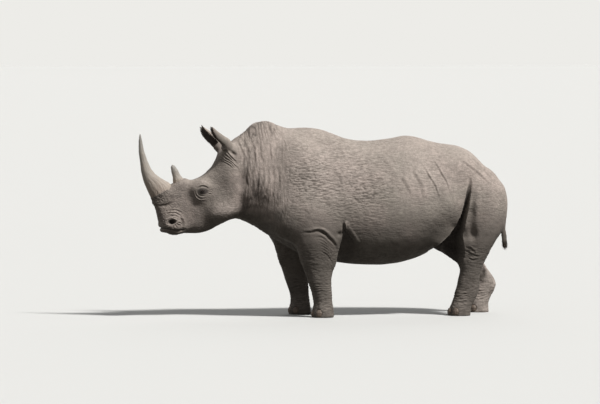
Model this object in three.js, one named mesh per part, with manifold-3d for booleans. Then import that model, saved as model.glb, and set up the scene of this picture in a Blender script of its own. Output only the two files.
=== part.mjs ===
// An adult white rhinoceros standing still, head low, its feet set a little apart.
// Millimetres, +Z up. It faces -X, and its left side is towards -Y. Z = 0 is the ground.
// The flesh is one smooth field, meshed region by region and parted by thin cuts.
import * as THREE from "three";
import Module from "manifold-3d";

const wasm = await Module();
wasm.setup();

// ---- Driving dimensions -------------------------------------------------------------------

const GAP = 0.3;                    // between neighbouring solids
const FORE_STRIDE = -98;            // right forefoot ahead of the left one
const EYE_RADIUS = 19;
const EYE_AT = [-1119, 166, 1128];  // centre of the ball, +Y side
const EVENNESS = 3e-3;              // how much thinning favours triangles of one size
const SHORTEST_EDGE = 0.15;         // cuts leave none shorter
const NAIL_HEIGHT = 40;             // of its middle
const NAIL_AROUND = 7;
const NAIL_TALL = 34;               // half its height
const NAIL_DEPTH = 22;              // half its depth
const NAIL_STANDS_OUT = 8;
const NAIL_LEAN = 14;               // degrees, its top leaning back
const NAIL_TURNS = [[-56, 32], [0, 42], [56, 32]];  // degrees round the foot, half width

// Sections of neck and trunk across X: x, top, bottom, half width, height of the widest line,
// then how square the section is above and below that line (2 is an ellipse).
const BODY = [
  [-1010, 1290, 1060, 120, 1180, 2.0, 2.0],
  [-900, 1490, 935, 190, 1200, 2.0, 2.0],
  [-800, 1592, 885, 224, 1200, 1.9, 2.0],   // nape
  [-720, 1640, 856, 244, 1190, 1.8, 2.0],
  [-650, 1700, 822, 264, 1170, 1.7, 2.0],
  [-530, 1750, 748, 300, 1140, 1.7, 2.0],   // hump
  [-400, 1710, 668, 335, 1110, 1.75, 2.0],
  [-300, 1682, 615, 358, 1090, 1.8, 2.0],
  [-150, 1693, 550, 380, 1050, 1.8, 2.0],   // withers
  [0, 1670, 508, 400, 1010, 1.85, 2.0],
  [200, 1594, 468, 432, 960, 1.95, 2.1],
  [440, 1567, 452, 458, 930, 2.05, 2.2],    // dip of the back
  [700, 1601, 470, 466, 930, 2.05, 2.2],
  [800, 1619, 496, 462, 940, 2.0, 2.15],    // croup
  [900, 1592, 530, 452, 965, 2.0, 2.1],
  [1080, 1540, 622, 420, 1020, 1.95, 2.0],
  [1260, 1518, 715, 385, 1080, 1.9, 2.0],
  [1390, 1448, 775, 335, 1090, 1.75, 2.0],
  [1480, 1356, 810, 280, 1060, 1.7, 2.0],
  [1560, 1252, 845, 210, 1040, 1.75, 2.0],
  [1615, 1160, 890, 130, 1010, 1.9, 2.0],
  [1640, 1060, 960, 50, 1000, 2.0, 2.0],
];

// Sections of the head across its own axis, which runs down the face from the poll.
// along the axis, top, bottom, half width, level of the widest line, squareness above, below.
const HEAD_AT = [-850, 1210];       // x and z of the axis's start
const HEAD_PITCH = 29;              // degrees below level
const HEAD = [
  [-150, 190, -180, 150, 0, 2.0, 2.0],
  [-60, 262, -225, 182, 10, 2.0, 2.2],      // poll
  [30, 206, -256, 184, -10, 2.2, 2.3],
  [110, 172, -284, 178, -30, 2.3, 2.4],     // angle of the jaw
  [200, 163, -293, 168, -30, 2.4, 2.4],
  [290, 176, -296, 156, -20, 2.3, 2.4],     // eyes
  [350, 204, -295, 142, -30, 2.1, 2.3],
  [450, 210, -275, 124, -60, 2.0, 2.3],
  [540, 204, -226, 116, -75, 1.9, 2.3],
  [610, 190, -180, 122, -75, 1.9, 2.3],     // nostrils
  [666, 172, -138, 122, -70, 1.9, 2.3],
  [698, 108, -118, 110, -68, 2.0, 2.2],
  [724, 8, -112, 88, -64, 2.2, 2.2],
  [744, -50, -104, 54, -78, 2.2, 2.2],
  [752, -70, -96, 18, -84, 2.0, 2.0],       // front of the lips
];

// Sections of a leg across Z: height, front, back, half width, distance from the midline.
const FORE = [
  [1000, -330, 150, 112, 250],
  [850, -322, 150, 136, 258],
  [693, -300, 118, 140, 262],
  [591, -274, 100, 124, 264],
  [483, -245, 82, 108, 265],                // elbow
  [412, -214, 42, 98, 265],
  [340, -190, 26, 93, 265],
  [253, -162, 30, 89, 264],                 // wrist
  [190, -141, 36, 86, 263],
  [135, -128, 38, 91, 262],
  [80, -138, 46, 107, 262],
  [35, -150, 52, 117, 262],
  [-30, -147, 49, 114, 262],
];
const HIND = [
  [1150, 1230, 1630, 110, 225],
  [1000, 1240, 1646, 145, 225],
  [850, 1256, 1630, 158, 225],
  [721, 1243, 1576, 148, 235],
  [640, 1237, 1524, 134, 242],              // knee
  [570, 1242, 1488, 118, 246],
  [500, 1236, 1446, 104, 248],
  [404, 1219, 1402, 91, 250],
  [329, 1201, 1394, 84, 250],
  [260, 1181, 1394, 82, 250],               // hock
  [199, 1166, 1384, 81, 250],
  [136, 1147, 1346, 86, 250],
  [80, 1121, 1319, 98, 250],
  [35, 1106, 1310, 107, 250],
  [-30, 1110, 1307, 105, 250],
];
// How far back the right hind leg is set, by height.
const HIND_STRIDE = [
  [1150, 0], [850, 30], [640, 70], [483, 108], [385, 200], [260, 284], [136, 276], [0, 300],
];
const LEG_SQUARENESS = 2.25;

// Masses laid on both sides of the body: centre, radii, lean in degrees about Y, blend.
const BODY_MASSES = [
  [[-215, 235, 1200], [190, 120, 390], 14, 120],    // shoulder blade
  [[-330, 240, 900], [150, 125, 210], -10, 110],    // point of the shoulder
  [[-60, 262, 900], [200, 122, 250], 0, 110],       // triceps
  [[1190, 205, 1310], [220, 135, 150], -14, 110],   // hip
  [[1415, 215, 1030], [192, 162, 300], -8, 80],     // thigh
  [[1538, 175, 960], [92, 128, 250], 6, 70],        // buttock
  [[-545, 0, 1618], [112, 90, 110], 0, 90],         // hump of the neck
];
// The same on the head, along, across and above its axis.
const HEAD_MASSES = [
  [[276, 122, 100], [80, 42, 42], 0, 50],           // brow
  [[276, 136, 22], [82, 34, 44], 0, 50],            // rim under the eye
  [[165, 112, -140], [150, 66, 124], 0, 70],        // cheek
  [[560, 0, 165], [140, 96, 56], 0, 60],            // boss of the front horn
  [[402, 0, 190], [78, 74, 40], 0, 50],             // boss of the rear horn
  [[640, 92, -60], [74, 48, 62], 0, 50],            // wing of the nostril
  [[658, 82, -92], [72, 60, 34], 0, 40],            // upper lip
  [[602, 50, -150], [92, 58, 34], 0, 40],           // lower lip
];
const EAR_ROOT = [[-846, 112, 1474], [74, 60, 66], 0, 80];
// The web of skin from belly to knee, as rods: their two ends, then the radii there.
const FLANK_FOLDS = [
  [[1010, 300, 668], [1240, 258, 496], 52, 46],
  [[1040, 300, 780], [1270, 260, 600], 58, 50],
  [[1120, 300, 930], [1290, 262, 760], 60, 56],
];
const FOLD_BLEND = 70;

// Planes that part the flesh. Each has two points in the XZ plane, top then bottom.
const HEAD_CUT = [[-792, 1640], [-742, 850]];
const NECK_CUT = [[-640, 1800], [-480, 640]];
// Outlines in the XZ plane that part the legs from the trunk, and the span from the midline.
const FORE_PART = { outline: [[-430, -40], [126, -40], [126, 700], [-430, 700]], span: [112, 460] };
const HIND_PART = {
  outline: [[1070, -40], [1800, -40], [1800, 830], [1245, 830], [1070, 400]],
  span: [62, 470],
};

// What each region's net covers, lowest and highest corner, its cells and its triangles.
const HEAD_REGION = [[-1700, -330, 640], [-660, 330, 1700]];
const HEAD_CELL = [26, 24, 25];
const HEAD_TRIANGLES = 2500;
const NECK_REGION = [[-880, -420, 560], [-360, 420, 1880]];
const NECK_CELL = [52, 48, 52];
const NECK_TRIANGLES = 560;
const TRUNK_REGION = [[-706, -604, 336], [1850, 600, 1900]];
const TRUNK_CELL = [48, 40, 42];
const TRUNK_TRIANGLES = 2000;
const LEG_CELL = [38, 38, 42];
const LEG_TRIANGLES = 480;

// Horns: x and z of the middle, half depth along the face, half width.
const FRONT_HORN = [
  [-1440, 1085, 116, 96],
  [-1470, 1128, 110, 92],
  [-1528, 1190, 82, 72],
  [-1570, 1250, 62, 56],
  [-1598, 1310, 47, 44],
  [-1621, 1396, 33, 31],
  [-1642, 1486, 24, 23],
  [-1650, 1575, 15, 14],
  [-1652, 1632, 6, 6],
];
const FRONT_TIP = [-1652, 1640];
const REAR_HORN = [
  [-1296, 1186, 60, 50],
  [-1308, 1214, 53, 45],
  [-1324, 1256, 36, 32],
  [-1341, 1304, 31, 27],
  [-1358, 1344, 19, 17],
];
const REAR_TIP = [-1366, 1365];

// Each ear has its own base, tip and way its cup faces: both are turned forward and a little to
// the left. The left ear is given on the right side too, and mirrored when it is made.
const EAR_RIGHT = { base: [-872, 104, 1468], tip: [-1056, 215, 1708], opens: [-0.95, -0.3, 0.1] };
const EAR_LEFT = { base: [-850, 104, 1468], tip: [-1041, 215, 1712], opens: [-0.95, 0.3, 0.1] };
const EAR_AROUND = 14;
const EAR_WALL = 9;
const EAR_CUP_FROM = 0.25;
const EAR_CUP_TO = 0.96;
// The share of an ear's length, half width, half depth, bow towards the opening.
const EAR = [
  [0.0, 44, 46, 0],
  [0.15, 51, 54, -3],
  [0.28, 55, 57, -4],
  [0.4, 54, 54, 0],
  [0.52, 51, 48, 12],
  [0.64, 47, 44, 20],
  [0.76, 39, 37, 25],
  [0.88, 25, 24, 20],
];
const EAR_POINT = [1.0, 4];

// Tail: x and z of the middle, half width, half thickness.
const TAIL = [
  [1560, 1212, 40, 36],
  [1622, 1168, 40, 34],
  [1664, 1080, 35, 28],
  [1680, 960, 29, 22],
  [1682, 850, 24, 18],
  [1678, 760, 22, 15],
  [1688, 690, 25, 12],
  [1694, 630, 20, 9],
];
const TAIL_TIP = [1697, 600];

// ---- Sampling and distances ---------------------------------------------------------------

const clamp = (v, lo, hi) => Math.min(Math.max(v, lo), hi);

// A smooth curve through rows keyed by their first value. Slopes never overshoot the rows.
function curve(rows) {
  const key = rows.map((row) => row[0]);
  const width = rows[0].length - 1;
  const rising = key[key.length - 1] > key[0];
  const last = rows.length - 1;
  const slopes = [];
  for (let j = 1; j <= width; j += 1) {
    const secant = [];
    for (let i = 0; i < last; i += 1) {
      secant.push((rows[i + 1][j] - rows[i][j]) / (key[i + 1] - key[i]));
    }
    const slope = [secant[0]];
    for (let i = 1; i < last; i += 1) {
      const [a, b] = [secant[i - 1], secant[i]];
      const left = Math.abs(key[i] - key[i - 1]);
      const right = Math.abs(key[i + 1] - key[i]);
      const even = (a * right + b * left) / (left + right);
      const cap = 3 * Math.min(Math.abs(a), Math.abs(b));
      slope.push(a * b <= 0 ? 0 : clamp(even, -cap, cap));
    }
    slope.push(secant[last - 1]);
    slopes.push(slope);
  }
  return (at) => {
    const k = rising ? clamp(at, key[0], key[last]) : clamp(at, key[last], key[0]);
    let i = 0;
    while (i < last - 1 && (rising ? k > key[i + 1] : k < key[i + 1])) {
      i += 1;
    }
    const span = key[i + 1] - key[i];
    const t = (k - key[i]) / span;
    const out = [k];
    for (let j = 1; j <= width; j += 1) {
      const [a, b] = [rows[i][j], rows[i + 1][j]];
      const [sa, sb] = [slopes[j - 1][i] * span, slopes[j - 1][i + 1] * span];
      const t2 = t * t;
      const t3 = t2 * t;
      out.push(
        (2 * t3 - 3 * t2 + 1) * a + (t3 - 2 * t2 + t) * sa
        + (3 * t2 - 2 * t3) * b + (t3 - t2) * sb,
      );
    }
    return out;
  };
}

// Two distances joined with a fillet about `soft` wide.
function join(a, b, soft) {
  const h = Math.max(soft - Math.abs(a - b), 0) / soft;
  return Math.min(a, b) - h * h * soft * 0.25;
}

// Distance, along the ray from the middle, to a section with unlike upper and lower halves.
function inSection(up, across, above, below, half, squareUp, squareDown) {
  const r = Math.hypot(up, across);
  const tall = up > 0 ? above : below;
  const n = up > 0 ? squareUp : squareDown;
  if (r < 1e-6) {
    return -Math.min(tall, half);
  }
  const share = (Math.abs(up / tall) ** n + Math.abs(across / half) ** n) ** (1 / n);
  return r * (1 - 1 / share);
}

function inEllipsoid(x, y, z, [centre, radii, lean]) {
  const turn = THREE.MathUtils.degToRad(lean);
  const [dx, dz] = [x - centre[0], z - centre[2]];
  const u = dx * Math.cos(turn) + dz * Math.sin(turn);
  const w = -dx * Math.sin(turn) + dz * Math.cos(turn);
  const v = y - centre[1];
  const far = Math.hypot(u / radii[0], v / radii[1], w / radii[2]);
  const steep = Math.hypot(u / radii[0] ** 2, v / radii[1] ** 2, w / radii[2] ** 2);
  return steep < 1e-9 ? -Math.min(...radii) : (far * (far - 1)) / steep;
}

// A rod with round ends whose radius changes evenly.
function inRod(x, y, z, [a, b, ra, rb]) {
  const axis = [b[0] - a[0], b[1] - a[1], b[2] - a[2]];
  const rel = [x - a[0], y - a[1], z - a[2]];
  const dot = axis[0] * rel[0] + axis[1] * rel[1] + axis[2] * rel[2];
  const t = clamp(dot / (axis[0] ** 2 + axis[1] ** 2 + axis[2] ** 2), 0, 1);
  const gap = Math.hypot(rel[0] - axis[0] * t, rel[1] - axis[1] * t, rel[2] - axis[2] * t);
  return gap - ra - (rb - ra) * t;
}

// ---- The field of flesh -------------------------------------------------------------------

const bodyAt = curve(BODY);
const headAt = curve(HEAD);
const foreAt = curve(FORE);
const hindAt = curve(HIND);
const hindStride = curve(HIND_STRIDE);
const pitch = THREE.MathUtils.degToRad(HEAD_PITCH);

function inBody(x, y, z) {
  const [at, top, bottom, half, mid, above, below] = bodyAt(x);
  const d = inSection(z - mid, y, top - mid, mid - bottom, half, above, below);
  const past = Math.abs(x - at);
  return past > 0 ? Math.hypot(Math.max(d, 0), past) : d;
}

// World to the head's own axes: along it, across, above.
function headAxes(x, y, z) {
  const [dx, dz] = [x - HEAD_AT[0], z - HEAD_AT[1]];
  const along = -dx * Math.cos(pitch) - dz * Math.sin(pitch);
  const up = -dx * Math.sin(pitch) + dz * Math.cos(pitch);
  return [along, y, up];
}

function inHead(x, y, z) {
  const [s, , t] = headAxes(x, y, z);
  const [at, top, bottom, half, mid, above, below] = headAt(s);
  const d = inSection(t - mid, y, top - mid, mid - bottom, half, above, below);
  const past = Math.abs(s - at);
  let all = past > 0 ? Math.hypot(Math.max(d, 0), past) : d;
  for (const mass of HEAD_MASSES) {
    all = join(all, inEllipsoid(s, Math.abs(y), t, mass), mass[3]);
  }
  return all;
}

function inLeg(x, y, z, at, shift) {
  const [, front, back, half, side] = at(z);
  const depth = (back - front) / 2;
  const middle = (back + front) / 2 + shift;
  const n = LEG_SQUARENESS;
  const d = inSection(x - middle, y - side, depth, depth, half, n, n);
  const over = Math.max(z - at(1e4)[0], 0);
  return over > 0 ? Math.hypot(Math.max(d, 0), over) : d;
}

function flesh(x, y, z) {
  const side = Math.abs(y);
  const right = y > 0;
  let d = inBody(x, y, z);
  for (const mass of BODY_MASSES) {
    d = join(d, inEllipsoid(x, side, z, mass), mass[3]);
  }
  d = join(d, inHead(x, y, z), 70);
  d = join(d, inEllipsoid(x, side, z, EAR_ROOT), EAR_ROOT[3]);
  d = join(d, inLeg(x, side, z, foreAt, right ? FORE_STRIDE : 0), 90);
  const hind = inLeg(x, side, z, hindAt, right ? hindStride(z)[1] : 0);
  let fold = 1e4;
  for (const [a, b, ra, rb] of FLANK_FOLDS) {
    const knee = right ? [b[0] + hindStride(b[2])[1], b[1], b[2]] : b;
    fold = join(fold, inRod(x, side, z, [a, knee, ra, rb]), 60);
  }
  return join(join(d, hind, 80), fold, FOLD_BLEND);
}

// ---- Meshing ------------------------------------------------------------------------------

// Surface nets: one vertex in every cell that the surface crosses, drawn onto the surface.
function net(field, low, high, cell, wanted) {
  const count = [0, 1, 2].map((i) => Math.ceil((high[i] - low[i]) / cell[i]) + 1);
  const at = (i, n) => low[i] + n * cell[i];
  const bounded = (x, y, z) => {
    const p = [x, y, z];
    let d = field(x, y, z);
    for (let i = 0; i < 3; i += 1) {
      d = Math.max(d, low[i] + cell[i] * 0.5 - p[i], p[i] - at(i, count[i] - 1.5));
    }
    return d;
  };
  const index = (i, j, k) => (k * count[1] + j) * count[0] + i;
  const value = new Float64Array(count[0] * count[1] * count[2]);
  for (let k = 0; k < count[2]; k += 1) {
    for (let j = 0; j < count[1]; j += 1) {
      for (let i = 0; i < count[0]; i += 1) {
        value[index(i, j, k)] = bounded(at(0, i), at(1, j), at(2, k));
      }
    }
  }
  const vertex = new Map();
  const points = [];
  for (let k = 0; k < count[2] - 1; k += 1) {
    for (let j = 0; j < count[1] - 1; j += 1) {
      for (let i = 0; i < count[0] - 1; i += 1) {
        const sum = [0, 0, 0, 0];
        for (let axis = 0; axis < 3; axis += 1) {
          for (let c = 0; c < 4; c += 1) {
            const from = [0, 0, 0];
            from[(axis + 1) % 3] = c & 1;
            from[(axis + 2) % 3] = c >> 1;
            const to = [...from];
            to[axis] = 1;
            const a = value[index(i + from[0], j + from[1], k + from[2])];
            const b = value[index(i + to[0], j + to[1], k + to[2])];
            if ((a < 0) !== (b < 0)) {
              from[axis] = a / (a - b);
              sum[0] += from[0];
              sum[1] += from[1];
              sum[2] += from[2];
              sum[3] += 1;
            }
          }
        }
        if (sum[3] > 0) {
          vertex.set(index(i, j, k), points.length);
          points.push([i, j, k].map((n, a) => at(a, n) + (sum[a] / sum[3]) * cell[a]));
        }
      }
    }
  }
  const quads = [];
  for (let k = 0; k < count[2] - 1; k += 1) {
    for (let j = 0; j < count[1] - 1; j += 1) {
      for (let i = 0; i < count[0] - 1; i += 1) {
        const here = value[index(i, j, k)] < 0;
        const steps = [[1, 0, 0], [0, 1, 0], [0, 0, 1]];
        for (let axis = 0; axis < 3; axis += 1) {
          const [si, sj, sk] = steps[axis];
          if ((value[index(i + si, j + sj, k + sk)] < 0) === here) {
            continue;
          }
          const u = steps[(axis + 1) % 3];
          const v = steps[(axis + 2) % 3];
          const corner = (a, b) => vertex.get(index(
            i - a * u[0] - b * v[0],
            j - a * u[1] - b * v[1],
            k - a * u[2] - b * v[2],
          ));
          const quad = [corner(1, 1), corner(0, 1), corner(0, 0), corner(1, 0)];
          quads.push(here ? quad : quad.reverse());
        }
      }
    }
  }
  settle(points, quads, bounded, cell);
  const triangles = [];
  for (const [a, b, c, d] of quads) {
    if (apart(points[a], points[c]) < apart(points[b], points[d])) {
      triangles.push([a, b, c], [a, c, d]);
    } else {
      triangles.push([b, c, d], [b, d, a]);
    }
  }
  const faces = thinned(points, triangles, wanted);
  settle(points, faces, bounded, cell);
  return solid(points.flat(), faces.flat());
}

// Evens out the vertices and puts each one back on the surface.
function settle(points, faces, field, cell) {
  const near = points.map(() => new Set());
  for (const face of faces) {
    const n = face.length;
    face.forEach((a, i) => {
      near[a].add(face[(i + 1) % n]);
      near[a].add(face[(i + n - 1) % n]);
    });
  }
  const reach = Math.min(...cell) * 0.5;
  const step = 0.5;
  for (let round = 0; round < 4; round += 1) {
    const old = points.map((p) => [...p]);
    points.forEach((p, i) => {
      const around = [...near[i]];
      if (around.length === 0) {
        return;
      }
      for (let a = 0; a < 3 && round < 2; a += 1) {
        const mean = around.reduce((sum, n) => sum + old[n][a], 0) / around.length;
        p[a] += (mean - p[a]) * 0.4;
      }
      for (let pass = 0; pass < 2; pass += 1) {
        const f = field(...p);
        const slope = [0, 1, 2].map((a) => {
          const [more, less] = [[...p], [...p]];
          more[a] += step;
          less[a] -= step;
          return (field(...more) - field(...less)) / (2 * step);
        });
        const size = slope[0] ** 2 + slope[1] ** 2 + slope[2] ** 2 + 1e-6;
        for (let a = 0; a < 3; a += 1) {
          p[a] -= clamp((f * slope[a]) / size, -reach, reach);
        }
      }
    });
  }
}

const apart = (p, q) => Math.hypot(p[0] - q[0], p[1] - q[1], p[2] - q[2]);

function normalOf(a, b, c) {
  const u = [b[0] - a[0], b[1] - a[1], b[2] - a[2]];
  const v = [c[0] - a[0], c[1] - a[1], c[2] - a[2]];
  return [u[1] * v[2] - u[2] * v[1], u[2] * v[0] - u[0] * v[2], u[0] * v[1] - u[1] * v[0]];
}

// The squared distances to a plane through `at`, as the ten numbers of a quadric.
function quadricOf(normal, at, weight) {
  const size = Math.hypot(...normal) || 1;
  const [a, b, c] = normal.map((n) => n / size);
  const d = -(a * at[0] + b * at[1] + c * at[2]);
  return [a * a, a * b, a * c, a * d, b * b, b * c, b * d, c * c, c * d, d * d]
    .map((n) => n * weight);
}

function quadricAt(q, [x, y, z]) {
  return q[0] * x * x + 2 * q[1] * x * y + 2 * q[2] * x * z + 2 * q[3] * x
    + q[4] * y * y + 2 * q[5] * y * z + 2 * q[6] * y
    + q[7] * z * z + 2 * q[8] * z + q[9];
}

// The best place for a joined vertex, or null where the quadric doesn't fix one.
function quadricBest(q) {
  const m = new THREE.Matrix3().set(q[0], q[1], q[2], q[1], q[4], q[5], q[2], q[5], q[7]);
  const scale = q[0] + q[4] + q[7];
  if (Math.abs(m.determinant()) < 1e-4 * scale ** 3) {
    return null;
  }
  return new THREE.Vector3(-q[3], -q[6], -q[8]).applyMatrix3(m.invert()).toArray();
}

// Merges vertices along the edges that matter least to the shape, changing `points`, until
// `wanted` triangles are left. With `shortest`, merges only edges under that length.
function thinned(points, triangles, wanted, shortest = 0) {
  let faces = triangles;
  const quadrics = points.map(() => new Array(10).fill(0));
  for (const [a, b, c] of faces) {
    const normal = normalOf(points[a], points[b], points[c]);
    const q = quadricOf(normal, points[a], Math.hypot(...normal));
    for (const v of [a, b, c]) {
      quadrics[v] = quadrics[v].map((n, i) => n + q[i]);
    }
  }
  for (let pass = 0; pass < 60 && faces.length > wanted; pass += 1) {
    const around = points.map(() => []);
    faces.forEach((face, i) => face.forEach((v) => around[v].push(i)));
    const edges = [];
    for (const face of faces) {
      for (let i = 0; i < 3; i += 1) {
        const [a, b] = [face[i], face[(i + 1) % 3]];
        const span = apart(points[a], points[b]);
        if (a > b || (shortest > 0 && span > shortest)) {
          continue;
        }
        const sum = quadrics[a].map((n, k) => n + quadrics[b][k]);
        const mean = points[a].map((n, k) => (n + points[b][k]) / 2);
        let at = shortest > 0 ? [...points[a]] : quadricBest(sum) || mean;
        if (apart(at, mean) > span) {
          at = mean;
        }
        edges.push([quadricAt(sum, at) + EVENNESS * span ** 4, a, b, at, sum]);
      }
    }
    edges.sort((p, q) => p[0] - q[0]);
    const touched = new Set();
    const gone = new Set();
    let left = faces.length;
    const most = shortest > 0 ? edges.length : Math.ceil(edges.length * 0.2);
    for (const [, a, b, at, sum] of edges.slice(0, most)) {
      const mine = [...around[a], ...around[b]];
      const ring = new Set(mine.flatMap((i) => faces[i]));
      if (left <= wanted || [...ring].some((v) => touched.has(v))) {
        continue;
      }
      const ends = (v) => new Set(around[v].flatMap((i) => faces[i]));
      const shared = [...ends(a)].filter((v) => v !== a && v !== b && ends(b).has(v));
      const both = mine.filter((i) => faces[i].includes(a) && faces[i].includes(b));
      if (shared.length !== 2 || both.length !== 4) {
        continue;
      }
      const turns = mine.some((i) => {
        const face = faces[i];
        if (face.includes(a) && face.includes(b)) {
          return false;
        }
        const old = face.map((v) => points[v]);
        const moved = face.map((v) => (v === a || v === b ? at : points[v]));
        const [m, n] = [normalOf(...old), normalOf(...moved)];
        const dot = m[0] * n[0] + m[1] * n[1] + m[2] * n[2];
        const big = Math.hypot(...n);
        const [p, r, t] = moved;
        const round = apart(p, r) ** 2 + apart(r, t) ** 2 + apart(t, p) ** 2;
        return shortest === 0 && (dot < 0.6 * Math.hypot(...m) * big || big < 0.13 * round);
      });
      if (turns) {
        continue;
      }
      ring.forEach((v) => touched.add(v));
      both.forEach((i) => gone.add(i));
      around[b].forEach((i) => {
        faces[i] = faces[i].map((v) => (v === b ? a : v));
      });
      points[a] = at;
      quadrics[a] = sum;
      left -= 2;
    }
    if (gone.size === 0) {
      break;
    }
    faces = faces.filter((_, i) => !gone.has(i));
  }
  return faces;
}

function solid(numbers, triangles) {
  return new wasm.Manifold(new wasm.Mesh({
    numProp: 3,
    vertProperties: new Float32Array(numbers),
    triVerts: new Uint32Array(triangles),
  }));
}

// Rings of points skinned into a closed solid, with a point or a flat fan at each end.
function skinned(rings, startPoint, endPoint) {
  const n = rings[0].length;
  const points = [...rings.flat(), startPoint, endPoint];
  const triangles = [];
  const first = rings.length * n;
  for (let r = 0; r < rings.length - 1; r += 1) {
    for (let i = 0; i < n; i += 1) {
      const [a, b] = [r * n + i, r * n + ((i + 1) % n)];
      triangles.push(a, b, a + n, b, b + n, a + n);
    }
  }
  for (let i = 0; i < n; i += 1) {
    const next = (i + 1) % n;
    const lastRing = (rings.length - 1) * n;
    triangles.push(first, next, i);
    triangles.push(first + 1, lastRing + i, lastRing + next);
  }
  const made = solid(points.flat(), triangles);
  return made.volume() < 0 ? solid(points.flat(), flipped(triangles)) : made;
}

function flipped(triangles) {
  const out = [];
  for (let i = 0; i < triangles.length; i += 3) {
    out.push(triangles[i], triangles[i + 2], triangles[i + 1]);
  }
  return out;
}

function ring(centre, u, v, a, b, n) {
  const points = [];
  for (let i = 0; i < n; i += 1) {
    const turn = (2 * Math.PI * i) / n;
    const [cu, cv] = [Math.cos(turn) * a, Math.sin(turn) * b];
    points.push([0, 1, 2].map((k) => centre[k] + u[k] * cu + v[k] * cv));
  }
  return points;
}

// An ellipsoid on three axes of its own.
function ball(centre, axes, radii, around, rows) {
  const rings = [];
  for (let i = 1; i < rows; i += 1) {
    const turn = (Math.PI * i) / rows;
    const middle = centre.map((c, k) => c - axes[2][k] * radii[2] * Math.cos(turn));
    const size = Math.sin(turn);
    rings.push(ring(middle, axes[0], axes[1], radii[0] * size, radii[1] * size, around));
  }
  const pole = (way) => centre.map((c, k) => c + way * axes[2][k] * radii[2]);
  return skinned(rings, pole(-1), pole(1));
}

// A flat outline in the XZ plane carried across from y0 to y1.
function slab(outline, y0, y1) {
  const wall = (y) => outline.map(([x, z]) => [x, y, z]);
  const mean = (i) => outline.reduce((sum, p) => sum + p[i], 0) / outline.length;
  return skinned([wall(y0), wall(y1)], [mean(0), y0, mean(1)], [mean(0), y1, mean(1)]);
}

// A convex outline with every side moved outwards.
function widened(outline, by) {
  const sides = outline.map(([x, z], i) => {
    const [nextX, nextZ] = outline[(i + 1) % outline.length];
    const size = Math.hypot(nextX - x, nextZ - z);
    const [nx, nz] = [(nextZ - z) / size, -(nextX - x) / size];
    return [nx, nz, nx * x + nz * z + by];
  });
  return sides.map(([a, b, c], i) => {
    const [d, e, f] = sides[(i + sides.length - 1) % sides.length];
    const det = a * e - b * d;
    return [(c * e - b * f) / det, (a * f - c * d) / det];
  });
}

// Everything in front of a cut, or behind it, short of the cut by half the gap.
function beside(cut, front) {
  const [[topX, topZ], [lowX, lowZ]] = cut;
  const lean = (topX - lowX) / (topZ - lowZ);
  const shift = (front ? -1 : 1) * GAP * 0.55;
  const x = (z) => topX + (z - topZ) * lean + shift;
  const end = front ? -4000 : 4000;
  return slab([[x(-500), -500], [x(2500), 2500], [end, 2500], [end, -500]], -2000, 2000);
}

const mirrored = (solidIn) => solidIn.mirror([0, 1, 0]);

// ---- Horns, ears, tail, eyes and nails ----------------------------------------------------

// A horn or tail: sections square to a line in the XZ plane, swollen all over by `grown`.
function stalk(rows, tip, around, grown) {
  const root = [0, 0];
  const rings = rows.map(([x, z, deep, wide], i) => {
    const before = rows[Math.max(i - 1, 0)];
    const after = rows[Math.min(i + 1, rows.length - 1)];
    const way = new THREE.Vector2(after[0] - before[0], after[1] - before[1]).normalize();
    const across = [way.y, 0, -way.x];
    const sunk = i === 0 ? grown : 0;
    const centre = [x - way.x * sunk, 0, z - way.y * sunk];
    if (i === 0) {
      root.splice(0, 2, centre[0], centre[2]);
    }
    return ring(centre, across, [0, 1, 0], deep + grown, wide + grown, around);
  });
  return skinned(rings, [root[0], 0, root[1]], [tip[0], 0, tip[1]]);
}

function earAxes({ base, tip, opens }) {
  const axis = new THREE.Vector3(...tip).sub(new THREE.Vector3(...base));
  const long = axis.length();
  axis.normalize();
  const open = new THREE.Vector3(...opens);
  open.addScaledVector(axis, -open.dot(axis)).normalize();
  const across = new THREE.Vector3().crossVectors(axis, open);
  return { axis, open, across, long };
}

function earLoft(ear, rows, tipAt, grow, shift) {
  const { axis, open, across, long } = earAxes(ear);
  const place = (w, bow, ahead) => new THREE.Vector3(...ear.base)
    .addScaledVector(axis, w * long)
    .addScaledVector(open, bow + ahead);
  const sunk = (w, i) => (i === 0 ? w - Math.max(grow[0], 0) / long : w);
  const rings = rows.map(([w, wide, deep, bow], i) => {
    const centre = place(sunk(w, i), bow, shift).toArray();
    const [a, b] = [wide + grow[0], deep + grow[1]];
    return ring(centre, across.toArray(), open.toArray(), a, b, EAR_AROUND);
  });
  const [w, , , bow] = rows[0];
  const tip = place(tipAt[0], tipAt[1], shift).toArray();
  return skinned(rings, place(sunk(w, 0), bow, shift).toArray(), tip);
}

function earSolid(ear) {
  const shell = earLoft(ear, EAR, EAR_POINT, [0, 0], 0);
  const cup = earLoft(
    ear,
    EAR.filter(([w]) => w > EAR_CUP_FROM && w < EAR_CUP_TO),
    [EAR_CUP_TO, EAR_POINT[1]],
    [-EAR_WALL, 3],
    EAR_WALL + 3,
  );
  return shell.subtract(cup);
}

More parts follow.
